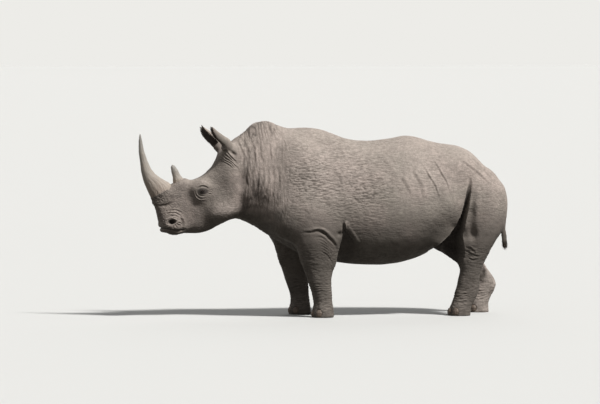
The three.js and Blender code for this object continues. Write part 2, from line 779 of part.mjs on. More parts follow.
// The three nails of a foot, ahead and to both sides; `grown` makes the room for them.
function nails(rows, shift, grown) {
  const [, front, back, half, side] = rows(NAIL_HEIGHT);
  const middle = (front + back) / 2 + shift;
  const depth = (back - front) / 2;
  return NAIL_TURNS.map(([turn, wide]) => {
    const angle = THREE.MathUtils.degToRad(turn);
    const n = 2 / LEG_SQUARENESS;
    const out = [
      middle - depth * Math.abs(Math.cos(angle)) ** n,
      side + half * Math.sign(Math.sin(angle)) * Math.abs(Math.sin(angle)) ** n,
    ];
    const way = [-Math.cos(angle), Math.sin(angle), 0];
    const lean = Math.sin(THREE.MathUtils.degToRad(NAIL_LEAN));
    const outward = new THREE.Vector3(way[0], way[1], lean).normalize();
    const across = new THREE.Vector3(way[1], -way[0], 0);
    const up = new THREE.Vector3().crossVectors(outward, across);
    if (up.z < 0) {
      up.negate();
    }
    const inset = NAIL_DEPTH - NAIL_STANDS_OUT;
    const centre = [out[0] - way[0] * inset, out[1] - way[1] * inset, NAIL_HEIGHT];
    const axes = [across.toArray(), outward.toArray(), up.toArray()];
    const radii = [wide + grown, NAIL_DEPTH + grown, NAIL_TALL + grown];
    return ball(centre, axes, radii, NAIL_AROUND, 4);
  });
}

// ---- Parting and assembly -----------------------------------------------------------------

const group = new THREE.Group();
group.name = "rhinoceros";
const animal = new THREE.Group();
group.add(animal);

const skin = new THREE.MeshStandardMaterial({ color: 0x968a80, roughness: 0.9, metalness: 0 });
const dusty = new THREE.MeshStandardMaterial({ color: 0x9c8b7f, roughness: 0.92, metalness: 0 });
const horn = new THREE.MeshStandardMaterial({ color: 0x9b8a76, roughness: 0.7, metalness: 0 });
const nail = new THREE.MeshStandardMaterial({ color: 0x6f6358, roughness: 0.6, metalness: 0 });
const eye = new THREE.MeshStandardMaterial({ color: 0x1c1512, roughness: 0.12, metalness: 0 });

function add(name, body, material) {
  const { vertProperties, triVerts, numProp } = body.getMesh();
  const points = [];
  for (let i = 0; i < vertProperties.length; i += numProp) {
    points.push([...vertProperties.subarray(i, i + 3)]);
  }
  const triangles = [];
  for (let i = 0; i < triVerts.length; i += 3) {
    triangles.push([...triVerts.subarray(i, i + 3)]);
  }
  const faces = thinned(points, triangles, 0, SHORTEST_EDGE);
  const geometry = new THREE.BufferGeometry();
  const numbers = new Float32Array(points.flat());
  geometry.setAttribute("position", new THREE.BufferAttribute(numbers, 3));
  geometry.setIndex(new THREE.BufferAttribute(new Uint32Array(faces.flat()), 1));
  geometry.computeVertexNormals();
  const mesh = new THREE.Mesh(geometry, material);
  mesh.name = name;
  animal.add(mesh);
}

// The largest body of a cut, without any crumb left beside it.
function whole(cut) {
  const parts = cut.decompose();
  return parts.reduce((a, b) => (a.volume() > b.volume() ? a : b));
}

const GROUND = slab([[-4000, 0], [4000, 0], [4000, 4000], [-4000, 4000]], -2000, 2000);

function legRoom({ outline, span }, right, grown) {
  const made = slab(widened(outline, grown), span[0] - grown, span[1] + grown);
  return right ? made : mirrored(made);
}

const hornSocket = stalk(FRONT_HORN, FRONT_TIP, 14, GAP)
  .add(stalk(REAR_HORN, REAR_TIP, 12, GAP));
const earSocket = (ear) => earLoft(ear, EAR, EAR_POINT, [GAP, GAP], 0);
const eyeAxes = [[1, 0, 0], [0, 1, 0], [0, 0, 1]];
const eyeball = (grown) => {
  const radius = EYE_RADIUS + grown;
  return ball(EYE_AT, eyeAxes, [radius, radius, radius], 10, 6);
};

const headFlesh = net(flesh, HEAD_REGION[0], HEAD_REGION[1], HEAD_CELL, HEAD_TRIANGLES);
const head = headFlesh
  .intersect(beside(HEAD_CUT, true))
  .subtract(hornSocket)
  .subtract(earSocket(EAR_RIGHT))
  .subtract(mirrored(earSocket(EAR_LEFT)))
  .subtract(eyeball(GAP))
  .subtract(mirrored(eyeball(GAP)));
add("head", whole(head), skin);

const neckFlesh = net(flesh, NECK_REGION[0], NECK_REGION[1], NECK_CELL, NECK_TRIANGLES);
const neck = neckFlesh.intersect(beside(HEAD_CUT, false)).intersect(beside(NECK_CUT, true));
add("neck", whole(neck), skin);

const tailSocket = stalk(TAIL, TAIL_TIP, 8, GAP);
let trunk = net(flesh, TRUNK_REGION[0], TRUNK_REGION[1], TRUNK_CELL, TRUNK_TRIANGLES)
  .intersect(beside(NECK_CUT, false))
  .subtract(tailSocket);
for (const part of [FORE_PART, HIND_PART]) {
  trunk = trunk.subtract(legRoom(part, true, GAP)).subtract(legRoom(part, false, GAP));
}
add("trunk", whole(trunk), skin);
add("tail", stalk(TAIL, TAIL_TIP, 8, 0), dusty);

const LEGS = [
  ["front_left", FORE_PART, foreAt, false, 0],
  ["front_right", FORE_PART, foreAt, true, FORE_STRIDE],
  ["hind_left", HIND_PART, hindAt, false, 0],
  ["hind_right", HIND_PART, hindAt, true, hindStride(NAIL_HEIGHT)[1]],
];
for (const [name, part, rows, right, shift] of LEGS) {
  const [inner, outer] = part.span;
  const [xs, zs] = [0, 1].map((i) => part.outline.map((p) => p[i]));
  const margin = 60;
  const from = [Math.min(...xs) - margin, (right ? inner : -outer) - margin, -60];
  const to = [Math.max(...xs) + margin, (right ? outer : -inner) + margin];
  to.push(Math.max(...zs) + margin);
  const side = (made) => (right ? made : mirrored(made));
  let leg = net(flesh, from, to, LEG_CELL, LEG_TRIANGLES)
    .intersect(legRoom(part, right, 0))
    .intersect(GROUND)
    .subtract(tailSocket);
  for (const room of nails(rows, shift, GAP)) {
    leg = leg.subtract(side(room));
  }
  add(`leg_${name}`, whole(leg), dusty);
  nails(rows, shift, 0).forEach((made, i) => {
    add(`nail_${name}_${["inner", "middle", "outer"][i]}`, side(made), nail);
  });
}

add("horn_front", stalk(FRONT_HORN, FRONT_TIP, 14, 0), horn);
add("horn_rear", stalk(REAR_HORN, REAR_TIP, 12, 0), horn);
add("ear_right", earSolid(EAR_RIGHT), skin);
add("ear_left", mirrored(earSolid(EAR_LEFT)), skin);
add("eye_right", eyeball(0), eye);
add("eye_left", mirrored(eyeball(0)), eye);

// The origin is on the ground, under the middle of the whole body's box.
const middle = new THREE.Box3().setFromObject(animal).getCenter(new THREE.Vector3());
animal.position.set(-middle.x, -middle.y, 0);

export default group;
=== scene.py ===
"""A white rhinoceros standing still at life size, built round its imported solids.

One skin covers the flesh: the solids are remeshed together, smoothed, and sculpted with folds,
lids, nostrils and wrinkles. Eyes, horns and nails are pieces of their own, and bristles stand on
the ears, the tail and the upper lids. Metres, +Z up. The head faces -X, the left side is -Y.
"""
import itertools
import math

import bmesh
import bpy
import numpy as np
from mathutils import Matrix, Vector
from mathutils.bvhtree import BVHTree
from mathutils.kdtree import KDTree


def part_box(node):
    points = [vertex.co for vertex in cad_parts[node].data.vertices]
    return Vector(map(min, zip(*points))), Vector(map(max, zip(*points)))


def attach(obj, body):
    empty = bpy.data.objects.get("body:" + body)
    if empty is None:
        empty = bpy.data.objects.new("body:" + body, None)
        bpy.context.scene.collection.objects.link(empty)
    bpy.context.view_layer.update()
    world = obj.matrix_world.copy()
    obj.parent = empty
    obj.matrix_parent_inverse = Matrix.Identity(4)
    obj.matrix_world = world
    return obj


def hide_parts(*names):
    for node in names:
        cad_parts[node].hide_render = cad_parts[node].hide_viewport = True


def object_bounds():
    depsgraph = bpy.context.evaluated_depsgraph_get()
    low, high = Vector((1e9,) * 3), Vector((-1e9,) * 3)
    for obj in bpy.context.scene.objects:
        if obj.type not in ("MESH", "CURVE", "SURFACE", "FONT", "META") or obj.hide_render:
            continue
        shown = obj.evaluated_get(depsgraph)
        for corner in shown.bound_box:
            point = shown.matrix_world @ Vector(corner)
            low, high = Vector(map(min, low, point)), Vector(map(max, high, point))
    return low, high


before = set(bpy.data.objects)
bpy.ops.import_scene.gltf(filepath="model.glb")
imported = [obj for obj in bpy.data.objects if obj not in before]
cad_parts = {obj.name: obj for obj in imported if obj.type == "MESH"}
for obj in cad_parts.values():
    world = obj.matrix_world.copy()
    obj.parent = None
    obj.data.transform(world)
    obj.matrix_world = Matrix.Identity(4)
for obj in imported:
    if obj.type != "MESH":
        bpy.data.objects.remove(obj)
CAD_BOX = [list(corner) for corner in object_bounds()]

# ---- Sizes ----

LIMBS = [f"leg_{end}_{side}" for end in ("front", "hind") for side in ("left", "right")]
EARS = ["ear_left", "ear_right"]
FLESH = ["head", "neck", "trunk", "tail", *LIMBS, *EARS]
SIDES = {"left": -1.0, "right": 1.0}

SKIN_NET = 0.006          # side of the skin's squares before the head is cut finer
HORN_NET = 0.0036
NAIL_NET = 0.0028
SWELL = 0.0006            # closes the thin cuts between the solids
HORN_STUB = 0.05          # how much of each horn the skin runs over before the horn covers it
PATCH = 0.003             # side of a bristle's patch on the skin's map, which is 1 wide
FRAY = 0.003              # how deep the fibres at a horn's root are frayed
HALF_FLANK = 0.36         # how far from the middle the flanks stand by the armpit and the groin
EYE_RADIUS = 0.019
HALF_SLIT = 0.018         # half the width of the opening between the lids
EAR_OPENS = (-0.95, -0.3, 0.1)    # the way both ears' cups face
EDGE_STRANDS = 700        # bristles on each edge of an ear
TAIL_STRANDS = 420
LASHES = 26               # on each upper lid

RNG = np.random.default_rng(12)


def corners(node):
    """The lowest and the highest corner of a node's box."""
    return (np.array(corner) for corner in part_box(node))


def step(value, low, high):
    """0 below low, 1 above high, and smooth between. Low may be above high."""
    t = np.clip((value - low) / (high - low), 0, 1)
    return t * t * (3 - 2 * t)


def length(vectors):
    """How long each row is."""
    return np.sqrt((vectors * vectors).sum(-1))


# ---- Noise ----

SLOPES = np.array([way for way in itertools.product((-1, 0, 1), repeat=3)
                   if sum(map(abs, way)) == 2], float)
# Large odd numbers, which scatter the cells' codes.
SCATTER = (73856093, 19349663, 83492791, 2654435761, 1274126177)


def noise(places, seed=0):
    """Smooth gradient noise, about -1 to 1, at each row of places."""
    cell = np.floor(places).astype(np.int64)
    part = places - cell
    ease = part ** 3 * (part * (part * 6 - 15) + 10)
    total = np.zeros(len(places))
    for corner in itertools.product((0, 1), repeat=3):
        at = cell + corner
        code = seed * SCATTER[3]
        for axis in range(3):
            code = code ^ at[:, axis] * SCATTER[axis]
        code = (code ^ (code >> 13)) * SCATTER[4] & 0x7FFFFFFF
        slope = SLOPES[(code >> 7) % len(SLOPES)]
        weight = np.where(corner, ease, 1 - ease).prod(1)
        total += weight * (slope * (part - corner)).sum(1)
    return total


def cracks(places, seed, thin):
    """1 along the winding lines where the noise is 0, falling to 0 on both sides."""
    return np.exp(-(noise(places, seed) / thin) ** 2)


# ---- Nets of triangles ----

class Net:
    """A closed surface of triangles, with what smoothing and sculpting need."""

    def __init__(self, points, triangles):
        self.points = points
        self.triangles = triangles
        pairs = np.sort(triangles[:, [[0, 1], [1, 2], [2, 0]]].reshape(-1, 2), axis=1)
        codes = np.unique(pairs[:, 0] * len(points) + pairs[:, 1])
        self.edges = codes // len(points), codes % len(points)
        self.degree = np.bincount(np.concatenate(self.edges), minlength=len(points))

    def around(self, values):
        """The mean of each point's neighbours, one column at a time."""
        a, b = self.edges
        n = len(self.points)
        out = np.empty_like(values)
        for k in range(values.shape[1]):
            sums = np.bincount(a, values[b, k], n) + np.bincount(b, values[a, k], n)
            out[:, k] = sums / self.degree
        return out

    def blurred(self, values, rounds):
        """The values smoothed; rounds is how often, for each point."""
        out = values.copy()
        for i in range(int(np.ceil(rounds.max()))):
            share = np.clip(rounds - i, 0, 1)[:, None]
            out += (self.around(out) - out) * share
        return out

    def smooth(self, rounds):
        """Smooths the shape, and gives back what a second smoothing would take away."""
        once = self.blurred(self.points, rounds)
        self.points = 2 * once - self.blurred(once, rounds)

    def normals(self):
        a, b, c = (self.points[self.triangles[:, k]] for k in range(3))
        faces = np.cross(b - a, c - a)
        out = np.zeros_like(self.points)
        for k in range(3):
            for axis in range(3):
                out[:, axis] += np.bincount(self.triangles[:, k], faces[:, axis], len(out))
        return out / np.maximum(length(out), 1e-12)[:, None]

    def refined(self, chosen):
        """A net whose chosen triangles are cut in four, and their neighbours to match."""
        tri = self.triangles
        n = len(self.points)
        ends = tri[:, [[0, 1], [1, 2], [2, 0]]]
        codes = ends.min(2) * n + ends.max(2)
        marked = np.unique(codes[chosen])
        index = np.minimum(np.searchsorted(marked, codes), len(marked) - 1)
        cut = marked[index] == codes
        points = np.concatenate([
            self.points, (self.points[marked // n] + self.points[marked % n]) / 2])
        mid = n + index
        count = cut.sum(1)
        made = [tri[count == 0]]
        a, b, c, ab, bc, ca = np.concatenate([tri, mid], axis=1)[count == 3].T
        made += [np.stack(t, 1) for t in ((a, ab, ca), (ab, b, bc), (ca, bc, c), (ab, bc, ca))]
        for turn in range(3):
            order = [(turn + k) % 3 for k in range(3)]
            turned = np.concatenate([tri[:, order], mid[:, order]], axis=1)
            first, second, third = cut[:, order].T
            a, b, c, ab, bc, _ = turned[(count == 1) & first].T
            made += [np.stack(t, 1) for t in ((a, ab, c), (ab, b, c))]
            a, b, c, ab, bc, _ = turned[(count == 2) & first & second & ~third].T
            made += [np.stack(t, 1) for t in ((ab, b, bc), (a, ab, bc), (a, bc, c))]
        return Net(points, np.concatenate(made))

    def largest(self):
        """The net without any smaller island."""
        label = np.arange(len(self.points))
        a, b = self.edges
        while True:
            low = np.minimum(label[a], label[b])
            new = label.copy()
            np.minimum.at(new, a, low)
            np.minimum.at(new, b, low)
            new = new[new]
            if (new == label).all():
                break
            label = new
        main = np.bincount(label).argmax()
        keep = label == main
        number = np.cumsum(keep) - 1
        return Net(self.points[keep], number[self.triangles[keep[self.triangles[:, 0]]]])


def solid_mesh(parts):
    """The solids named in parts, swollen a little, in one mesh. A part may be a node or a node
    with a point and a direction: then only what lies behind that point is taken."""
    whole = bmesh.new()
    for part in parts:
        node, *cut = part if isinstance(part, tuple) else (part,)
        shape = bmesh.new()
        shape.from_mesh(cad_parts[node].data)
        bmesh.ops.remove_doubles(shape, verts=shape.verts, dist=2e-5)
        if cut:
            geometry = shape.verts[:] + shape.edges[:] + shape.faces[:]
            bmesh.ops.bisect_plane(shape, geom=geometry, plane_co=cut[0], plane_no=cut[1],
                                   clear_outer=True)
            rim = [e for e in shape.edges if e.is_boundary]
            bmesh.ops.holes_fill(shape, edges=rim)
        bmesh.ops.triangulate(shape, faces=shape.faces)
        bmesh.ops.recalc_face_normals(shape, faces=shape.faces)
        shape.normal_update()
        for vertex in shape.verts:
            vertex.co += vertex.normal * SWELL
        mesh = bpy.data.meshes.new("part")
        shape.to_mesh(mesh)
        shape.free()
        whole.from_mesh(mesh)
        bpy.data.meshes.remove(mesh)
    mesh = bpy.data.meshes.new("solids")
    whole.to_mesh(mesh)
    whole.free()
    return mesh


def net_of(parts, side):
    """One even net over the named solids, its squares that wide, cut into triangles."""
    holder = bpy.data.objects.new("holder", solid_mesh(parts))
    bpy.context.scene.collection.objects.link(holder)
    remesh = holder.modifiers.new("net", "REMESH")
    remesh.mode = "VOXEL"
    remesh.voxel_size = side
    shown = holder.evaluated_get(bpy.context.evaluated_depsgraph_get())
    mesh = shown.to_mesh()
    mesh.calc_loop_triangles()
    points = np.empty(len(mesh.vertices) * 3)
    mesh.vertices.foreach_get("co", points)
    triangles = np.empty(len(mesh.loop_triangles) * 3, np.int64)
    mesh.loop_triangles.foreach_get("vertices", triangles)
    shown.to_mesh_clear()
    source = holder.data
    bpy.data.objects.remove(holder)
    bpy.data.meshes.remove(source)
    return Net(points.reshape(-1, 3), triangles.reshape(-1, 3)).largest()


def rounds_for(reach, side):
    """How many rounds of smoothing spread a point's place over `reach` on squares that wide."""
    return 1.5 * (reach / side) ** 2


def piece_of(name, points, triangles, values=()):
    """A smooth-shaded Blender object, with the named float attributes on its points."""
    mesh = bpy.data.meshes.new(name)
    mesh.vertices.add(len(points))
    mesh.vertices.foreach_set("co", np.ascontiguousarray(points, np.float32).ravel())
    mesh.loops.add(triangles.size)
    mesh.loops.foreach_set("vertex_index", np.ascontiguousarray(triangles, np.int32).ravel())
    mesh.polygons.add(len(triangles))
    mesh.polygons.foreach_set("loop_start", np.arange(0, triangles.size, 3, dtype=np.int32))
    mesh.polygons.foreach_set("use_smooth", np.ones(len(triangles), bool))
    mesh.update(calc_edges=True)
    for key, value in dict(values).items():
        mesh.attributes.new(key, "FLOAT", "POINT").data.foreach_set("value", value.astype(np.float32))
    made = bpy.data.objects.new(name, mesh)
    bpy.context.scene.collection.objects.link(made)
    return made


# ---- The skin's smooth form ----

EYES = {side: sum(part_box(f"eye_{side}"), Vector()) / 2 for side in SIDES}
LID_RADIUS = EYE_RADIUS + 0.0055
HORN_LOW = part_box("horn_front")[0]
NOSTRIL = (HORN_LOW.x + 0.277, HORN_LOW.z - 0.162)
TAIL_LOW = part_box("tail")[0]
FORE = {side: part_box(f"leg_front_{side}") for side in SIDES}
HIND = {side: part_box(f"leg_hind_{side}") for side in SIDES}
HEAD_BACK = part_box("head")[1].x
NECK_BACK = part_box("neck")[1].x


def in_box(points, node, margin, soft=0.02):
    """1 inside a node's box widened by the margin, and 0 from `soft` beyond it."""
    low, high = corners(node)
    away = np.maximum(low - points, points - high).max(1)
    return 1 - step(away, margin, margin + soft)


def in_any(points, nodes, margin, soft=0.02):
    """As in_box, for whichever of the nodes is nearest."""
    return np.max([in_box(points, node, margin, soft) for node in nodes], axis=0)


def stub(node, forward, up):
    """The root of a horn: the node cut off a little above a place given as shares of its box."""
    low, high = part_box(node)
    root = Vector((high.x - (high.x - low.x) * forward, 0, low.z + (high.z - low.z) * up))
    way = Vector((-0.5, 0, 0.86))
    return node, root + way * HORN_STUB, way


def smooth_skin():
    """The flesh as one smooth net, cut finer towards the head, the muzzle and the eyes."""
    roots = [stub("horn_front", 0.3, 0.1), stub("horn_rear", 0.25, 0.05)]
    net = net_of([*FLESH, *roots, "eye_left", "eye_right"], SKIN_NET)
    reach = 0.011 + 0.031 * step(net.points[:, 0], HEAD_BACK - 0.06, NECK_BACK + 0.1)
    reach += (0.021 - reach) * in_any(net.points, LIMBS, -0.03, 0.12)
    reach += (0.010 - reach) * step(net.points[:, 2], 0.16, 0.06)
    reach += (0.006 - reach) * in_box(net.points, "tail", 0.01)
    for node in EARS:
        reach += (0.010 - reach) * in_box(net.points, node, 0.0, 0.03)
    net.smooth(rounds_for(reach, SKIN_NET))
    rims = np.zeros(len(net.points))
    for node in EARS:
        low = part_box(node)[0].z
        rims += in_box(net.points, node, 0.0, 0.03) * step(net.points[:, 2], low + 0.05, low + 0.1)
    net.points = net.blurred(net.points, 5.0 * rims)
    net.points[:, 2] = np.maximum(net.points[:, 2], 0)

    def centres():
        return net.points[net.triangles].mean(1)

    def near(places, radius):
        return np.any([length(centres() - np.array(place)) < radius for place in places], axis=0)

    net = net.refined(centres()[:, 0] < HEAD_BACK - 0.08)
    muzzle = [(HORN_LOW.x + 0.27, way * 0.12, HORN_LOW.z - 0.17) for way in (-1, 1)]
    net = net.refined(near(EYES.values(), 0.1) | near(muzzle, 0.12))
    net = net.refined(near(EYES.values(), 0.034))
    net.smooth(np.where(net.points[:, 0] < HEAD_BACK, 1.5, 0.0))
    return net


# ---- Sculpting ----

class Sculpt:
    """Pushes a net's points in and out along their smooth normals, and notes what lies deep and where
    the hide gets painted shade.
    """

    def __init__(self, net):
        self.net = net
        self.push = np.zeros(len(net.points))
        self.deep = np.zeros(len(net.points))
        self.dark = np.zeros(len(net.points))
        self.start()
        p = self.base
        self.drift = np.stack([noise(p / 0.12, 91) + 0.35 * noise(p / 0.035, 93),
                               noise(p / 0.12, 92) + 0.35 * noise(p / 0.035, 94)], 1)
        self.uneven = noise(p / 0.06, 95)
        self.stand(None)

    def start(self):
        """Takes the net as it is for the smooth form that pushes start from."""
        self.base = self.net.points.copy()
        self.out = self.net.normals()

    def stand(self, side, x=0.0, z=0.0):
        """Takes a side, or None for folds that cross both, and a place in side view that dents
        and folds are given from."""
        self.way = SIDES.get(side, 0)
        self.at = np.array((x, z))

    def facing(self):
        """1 on the flank that looks to this side, 0 on the other."""
        return step(self.out[:, 1] * self.way, 0.0, 0.3)

    def shade(self, share, amount):
        """Notes skin that gets painted shade: painted shadow in hollows, slits and recesses."""
        self.dark = np.maximum(self.dark, share * amount)

    def apply(self):
        self.net.points = self.base + self.out * self.push[:, None]

    def settle(self):
        """Takes the pushes so far as the new smooth form."""
        self.apply()
        self.start()
        self.push[:] = 0

    def grain(self, share, coarse, fine, depths, shades):
        """Cracks of two sizes, where share says: how deep each goes, and how much painted shade lies
        in it.
        """
        self.push -= share * (depths[0] * coarse + depths[1] * fine)
        self.deep = np.maximum(self.deep, share * np.maximum(coarse * shades[0], fine * shades[1]))

    def dent(self, centre, radii, depth, lean=0.0):
        """A hollow, or a swelling where depth is below 0, round a place in side view."""
        cos, sin = math.cos(math.radians(lean)), math.sin(math.radians(lean))
        dx, dz = (self.base[:, [0, 2]] - (self.at + centre)).T
        far = np.hypot((dx * cos + dz * sin) / radii[0], (dz * cos - dx * sin) / radii[1])
        amount = np.exp(-far ** 2) * self.facing()
        self.push -= amount * depth
        return amount

    def recess(self, rows, edge=0.02):
        """Draws one side of the body in towards its middle. Each row has a height, the x of the
        front edge and of the rear edge, the depth, and over what width the rear edge falls away."""
        height, front, back, depth, soft = np.array(rows).T
        x, y, z = self.base.T
        z = z + 0.008 * self.drift[:, 0]
        x = x + 0.006 * self.drift[:, 1]
        ahead = step(x - np.interp(z, height, front), 0, edge)
        behind = step((np.interp(z, height, back) - x) / np.interp(z, height, soft), 0, 1)
        share = ahead * behind * step(y * self.way, 0.0, 0.08)
        self.net.points = self.base.copy()
        self.net.points[:, 1] *= 1 - share * np.interp(z, height, depth) / HALF_FLANK
        around = self.net.blurred(share[:, None], np.full(len(x), 4.0))[:, 0]
        self.net.smooth(5 * step(around, 0, 0.2))
        self.start()
        # The share comes back for painted shadow, where the recess is deep enough.
        return share * step(np.interp(z, height, depth), 0, 0.04)

    def fold(self, path, depth, width, lip, ends=0.2, wander=0.012):
        """A crease along a path in side view, with a lip on its left as the path runs. Each end
        fades over the share of it that ends says."""
        way = flowing(np.array(path) + self.at)
        margin = 5 * width
        flat = self.base[:, [0, 2]]
        near = np.flatnonzero(((flat > way.min(0) - margin) & (flat < way.max(0) + margin)).all(1))
        spot = flat[near] + wander * self.drift[near]
        gap = np.full(len(near), 1e9)
        sign = np.ones(len(near))
        along = np.zeros(len(near))
        spans = length(np.diff(way, axis=0))
        start = 0.0
        for a, b, span in zip(way, way[1:], spans):
            axis = (b - a) / span
            rel = spot - a
            t = np.clip(rel @ axis, 0, span)
            off = rel - t[:, None] * axis
            far = length(off)
            closer = far < gap
            gap = np.where(closer, far, gap)
            sign = np.where(closer, np.sign(axis[0] * off[:, 1] - axis[1] * off[:, 0]), sign)
            along = np.where(closer, start + t, along)
            start += span
        share = along / start
        taper = step(share, 0, ends) * step(share, 1, 1 - ends)
        weight = taper * np.clip(0.95 + 0.4 * self.uneven[near], 0.5, 1.3)
        if self.way:
            weight *= step(self.out[near, 1] * self.way, 0.15, 0.5)
        gap = gap * sign
        groove = np.exp(-(gap / width) ** 2)
        raised = np.exp(-((gap - 1.9 * width) / (1.3 * width)) ** 2)
        self.push[near] += weight * (lip * raised - depth * groove)
        # Painted shade along the groove, stronger as the crease deepens.
        dark = weight * groove * min(depth / 0.009, 1)
        self.deep[near] = np.maximum(self.deep[near], dark)


def flowing(path, steps=6):
    """A smooth path through the given points."""
    ends = np.concatenate([[2 * path[0] - path[1]], path, [2 * path[-1] - path[-2]]])
    out = []
    for a, b, c, d in zip(ends, ends[1:], ends[2:], ends[3:]):
        for t in np.arange(steps) / steps:
            out.append(0.5 * (2 * b + (c - a) * t + (2 * a - 5 * b + 4 * c - d) * t ** 2
                              + (3 * b - a - 3 * c + d) * t ** 3))
    return np.array([*out, path[-1]])


def arc(centre, radii, start, end, count=7):
    """Part of an ellipse in side view; degrees from +X towards +Z."""
    turns = np.radians(np.linspace(start, end, count))
    return np.stack([np.cos(turns), np.sin(turns)], 1) * radii + centre


def head_forms(s):
    """The broad hollows and swellings of the head and neck."""
    for side, eye in EYES.items():
        s.stand(side, eye.x, eye.z)
        s.dent((0.035, 0.055), (0.07, 0.026), -0.010, -20)
        s.dent((-0.10, -0.10), (0.10, 0.05), 0.006, -30)
        s.dent((0.165, 0.045), (0.09, 0.07), 0.007)
        s.dent((0.25, -0.11), (0.12, 0.10), -0.008)
        s.dent((0.21, -0.20), (0.13, 0.075), -0.020, 15)
        # These three hollows behind the eye and the cheek also get painted shade.
        s.shade(s.dent((0.355, 0.095), (0.042, 0.085), 0.030, -8), 0.4)
        s.shade(s.dent((0.36, -0.12), (0.045, 0.12), 0.016, 15), 0.5)
        s.shade(s.dent((0.47, -0.03), (0.05, 0.13), 0.008, 8), 0.5)
        s.dent((0.545, 0.05), (0.075, 0.11), -0.014)
        s.dent((0.10, -0.30), (0.10, 0.05), 0.006, -25)


def body_forms(s):
    """The broad hollows and swellings of trunk and limbs."""
    for side in SIDES:
        s.stand(side, FORE[side][1].x - 0.03, 0.62)
        s.dent((-0.02, 0.125), (0.026, 0.022), 0.014)
        s.dent((-0.22, 0.02), (0.16, 0.13), -0.014)
        s.stand(side, HIND[side][0].x + (0.14 if side == "left" else 0.2), 0.59)
        s.dent((0.055, 0.145), (0.040, 0.055), 0.026)
        s.stand(side)
        s.dent((1.265, 0.96), (0.030, 0.22), 0.007)
        s.dent((1.312, 0.97), (0.030, 0.24), -0.009)
        s.dent((1.06, 1.0), (0.10, 0.25), -0.012, 15)


# Rows for recess: height, front edge, rear edge, depth, and how wide the rear edge is.
ARMPIT = [(0.40, 0.02, 0.24, 0.00, 0.10), (0.47, 0.03, 0.26, 0.03, 0.12),
          (0.55, 0.045, 0.28, 0.06, 0.12), (0.66, 0.066, 0.25, 0.075, 0.07),
          (0.74, 0.080, 0.19, 0.055, 0.04), (0.80, 0.088, 0.145, 0.03, 0.03),
          (0.85, 0.090, 0.11, 0.00, 0.03)]
GROIN = [(0.38, 0.90, 1.18, 0.00, 0.05), (0.46, 0.90, 1.20, 0.05, 0.05),
         (0.52, 0.90, 1.215, 0.15, 0.05), (0.59, 0.93, 1.222, 0.21, 0.05),
         (0.65, 0.985, 1.21, 0.21, 0.05), (0.72, 1.070, 1.20, 0.17, 0.045),
         (0.80, 1.124, 1.212, 0.13, 0.035), (0.88, 1.158, 1.226, 0.10, 0.03),
         (0.99, 1.195, 1.246, 0.06, 0.025), (1.10, 1.217, 1.256, 0.03, 0.025),
         (1.25, 1.245, 1.268, 0.0, 0.02)]


def hollows(s):
    """Where arm and thigh part from the trunk: armpit and groin, with painted shadow in their depths.
    """
    for side in SIDES:
        s.stand(side)
        s.shade(s.recess(ARMPIT), 0.6)
        set_back = 0.0 if side == "left" else 0.05
        groin = [(z, front, back + set_back * (z < 0.7), depth, soft)
                 for z, front, back, depth, soft in GROIN]
        s.shade(s.recess(groin, 0.018), 1.0)


# The crease of the rump, four ribs, the shoulder's ridge and two lines over the croup.
TRUNK_FOLDS = [
    ([(1.262, 1.33), (1.254, 1.25), (1.240, 1.14), (1.213, 1.0), (1.172, 0.87)],
     0.008, 0.014, 0.004, 0.45),
    ([(0.775, 1.42), (0.82, 1.345), (0.885, 1.22), (0.935, 1.11), (0.965, 1.00)],
     0.0042, 0.0065, 0.0045, 0.45, 0.007),
    ([(0.885, 1.45), (0.945, 1.35), (1.005, 1.24), (1.04, 1.15), (1.062, 1.05)],
     0.0042, 0.0065, 0.0045, 0.45, 0.007),
    ([(0.70, 1.30), (0.755, 1.21), (0.795, 1.11), (0.81, 1.04)], 0.0035, 0.014, 0.003),
    ([(0.60, 1.26), (0.65, 1.17), (0.68, 1.07)], 0.003, 0.014, 0.003),
    ([(0.43, 1.46), (0.483, 1.40), (0.545, 1.315), (0.62, 1.21)], -0.0045, 0.024, 0, 0.4),
    ([(1.12, 1.42), (1.19, 1.385), (1.245, 1.34), (1.307, 1.298), (1.38, 1.235),
      (1.431, 1.179), (1.46, 1.10)], 0.003, 0.009, 0.005, 0.45, 0.007),
    ([(1.27, 1.43), (1.35, 1.36), (1.43, 1.27), (1.48, 1.18)], 0.003, 0.009, 0.002)]


def flank_folds(s):
    """Folds of the trunk: arm, armpit, rump, ribs and shoulder."""
    for side in SIDES:
        s.stand(side, FORE[side][1].x - 0.117, 0.69)
        s.fold([(-0.30, 0.055), (-0.23, 0.072), (-0.145, 0.079), (-0.094, 0.063), (-0.044, 0.034),
                (0.0, -0.004), (0.035, -0.06), (0.055, -0.13)], 0.011, 0.012, 0.009, 0.42)
        for k in range(1, 7):
            down = 0.024 * k
            s.fold([(-0.20 + 0.016 * k, 0.055 - 0.9 * down), (-0.10, 0.046 - down),
                    (-0.04, 0.012 - 1.1 * down), (0.030, -0.060 - 1.1 * down)],
                   0.0042, 0.007, 0.0036, 0.35)
        s.fold([(0.098, 0.175), (0.124, 0.14), (0.162, 0.09), (0.202, 0.03), (0.250, -0.045)],
               -0.022, 0.013, 0.0, 0.12)
        s.fold([(0.105, 0.185), (0.108, 0.12), (0.104, 0.05)], 0.014, 0.012, 0.006)
        s.stand(side)
        for path, *shape in TRUNK_FOLDS:
            s.fold(path, *shape)


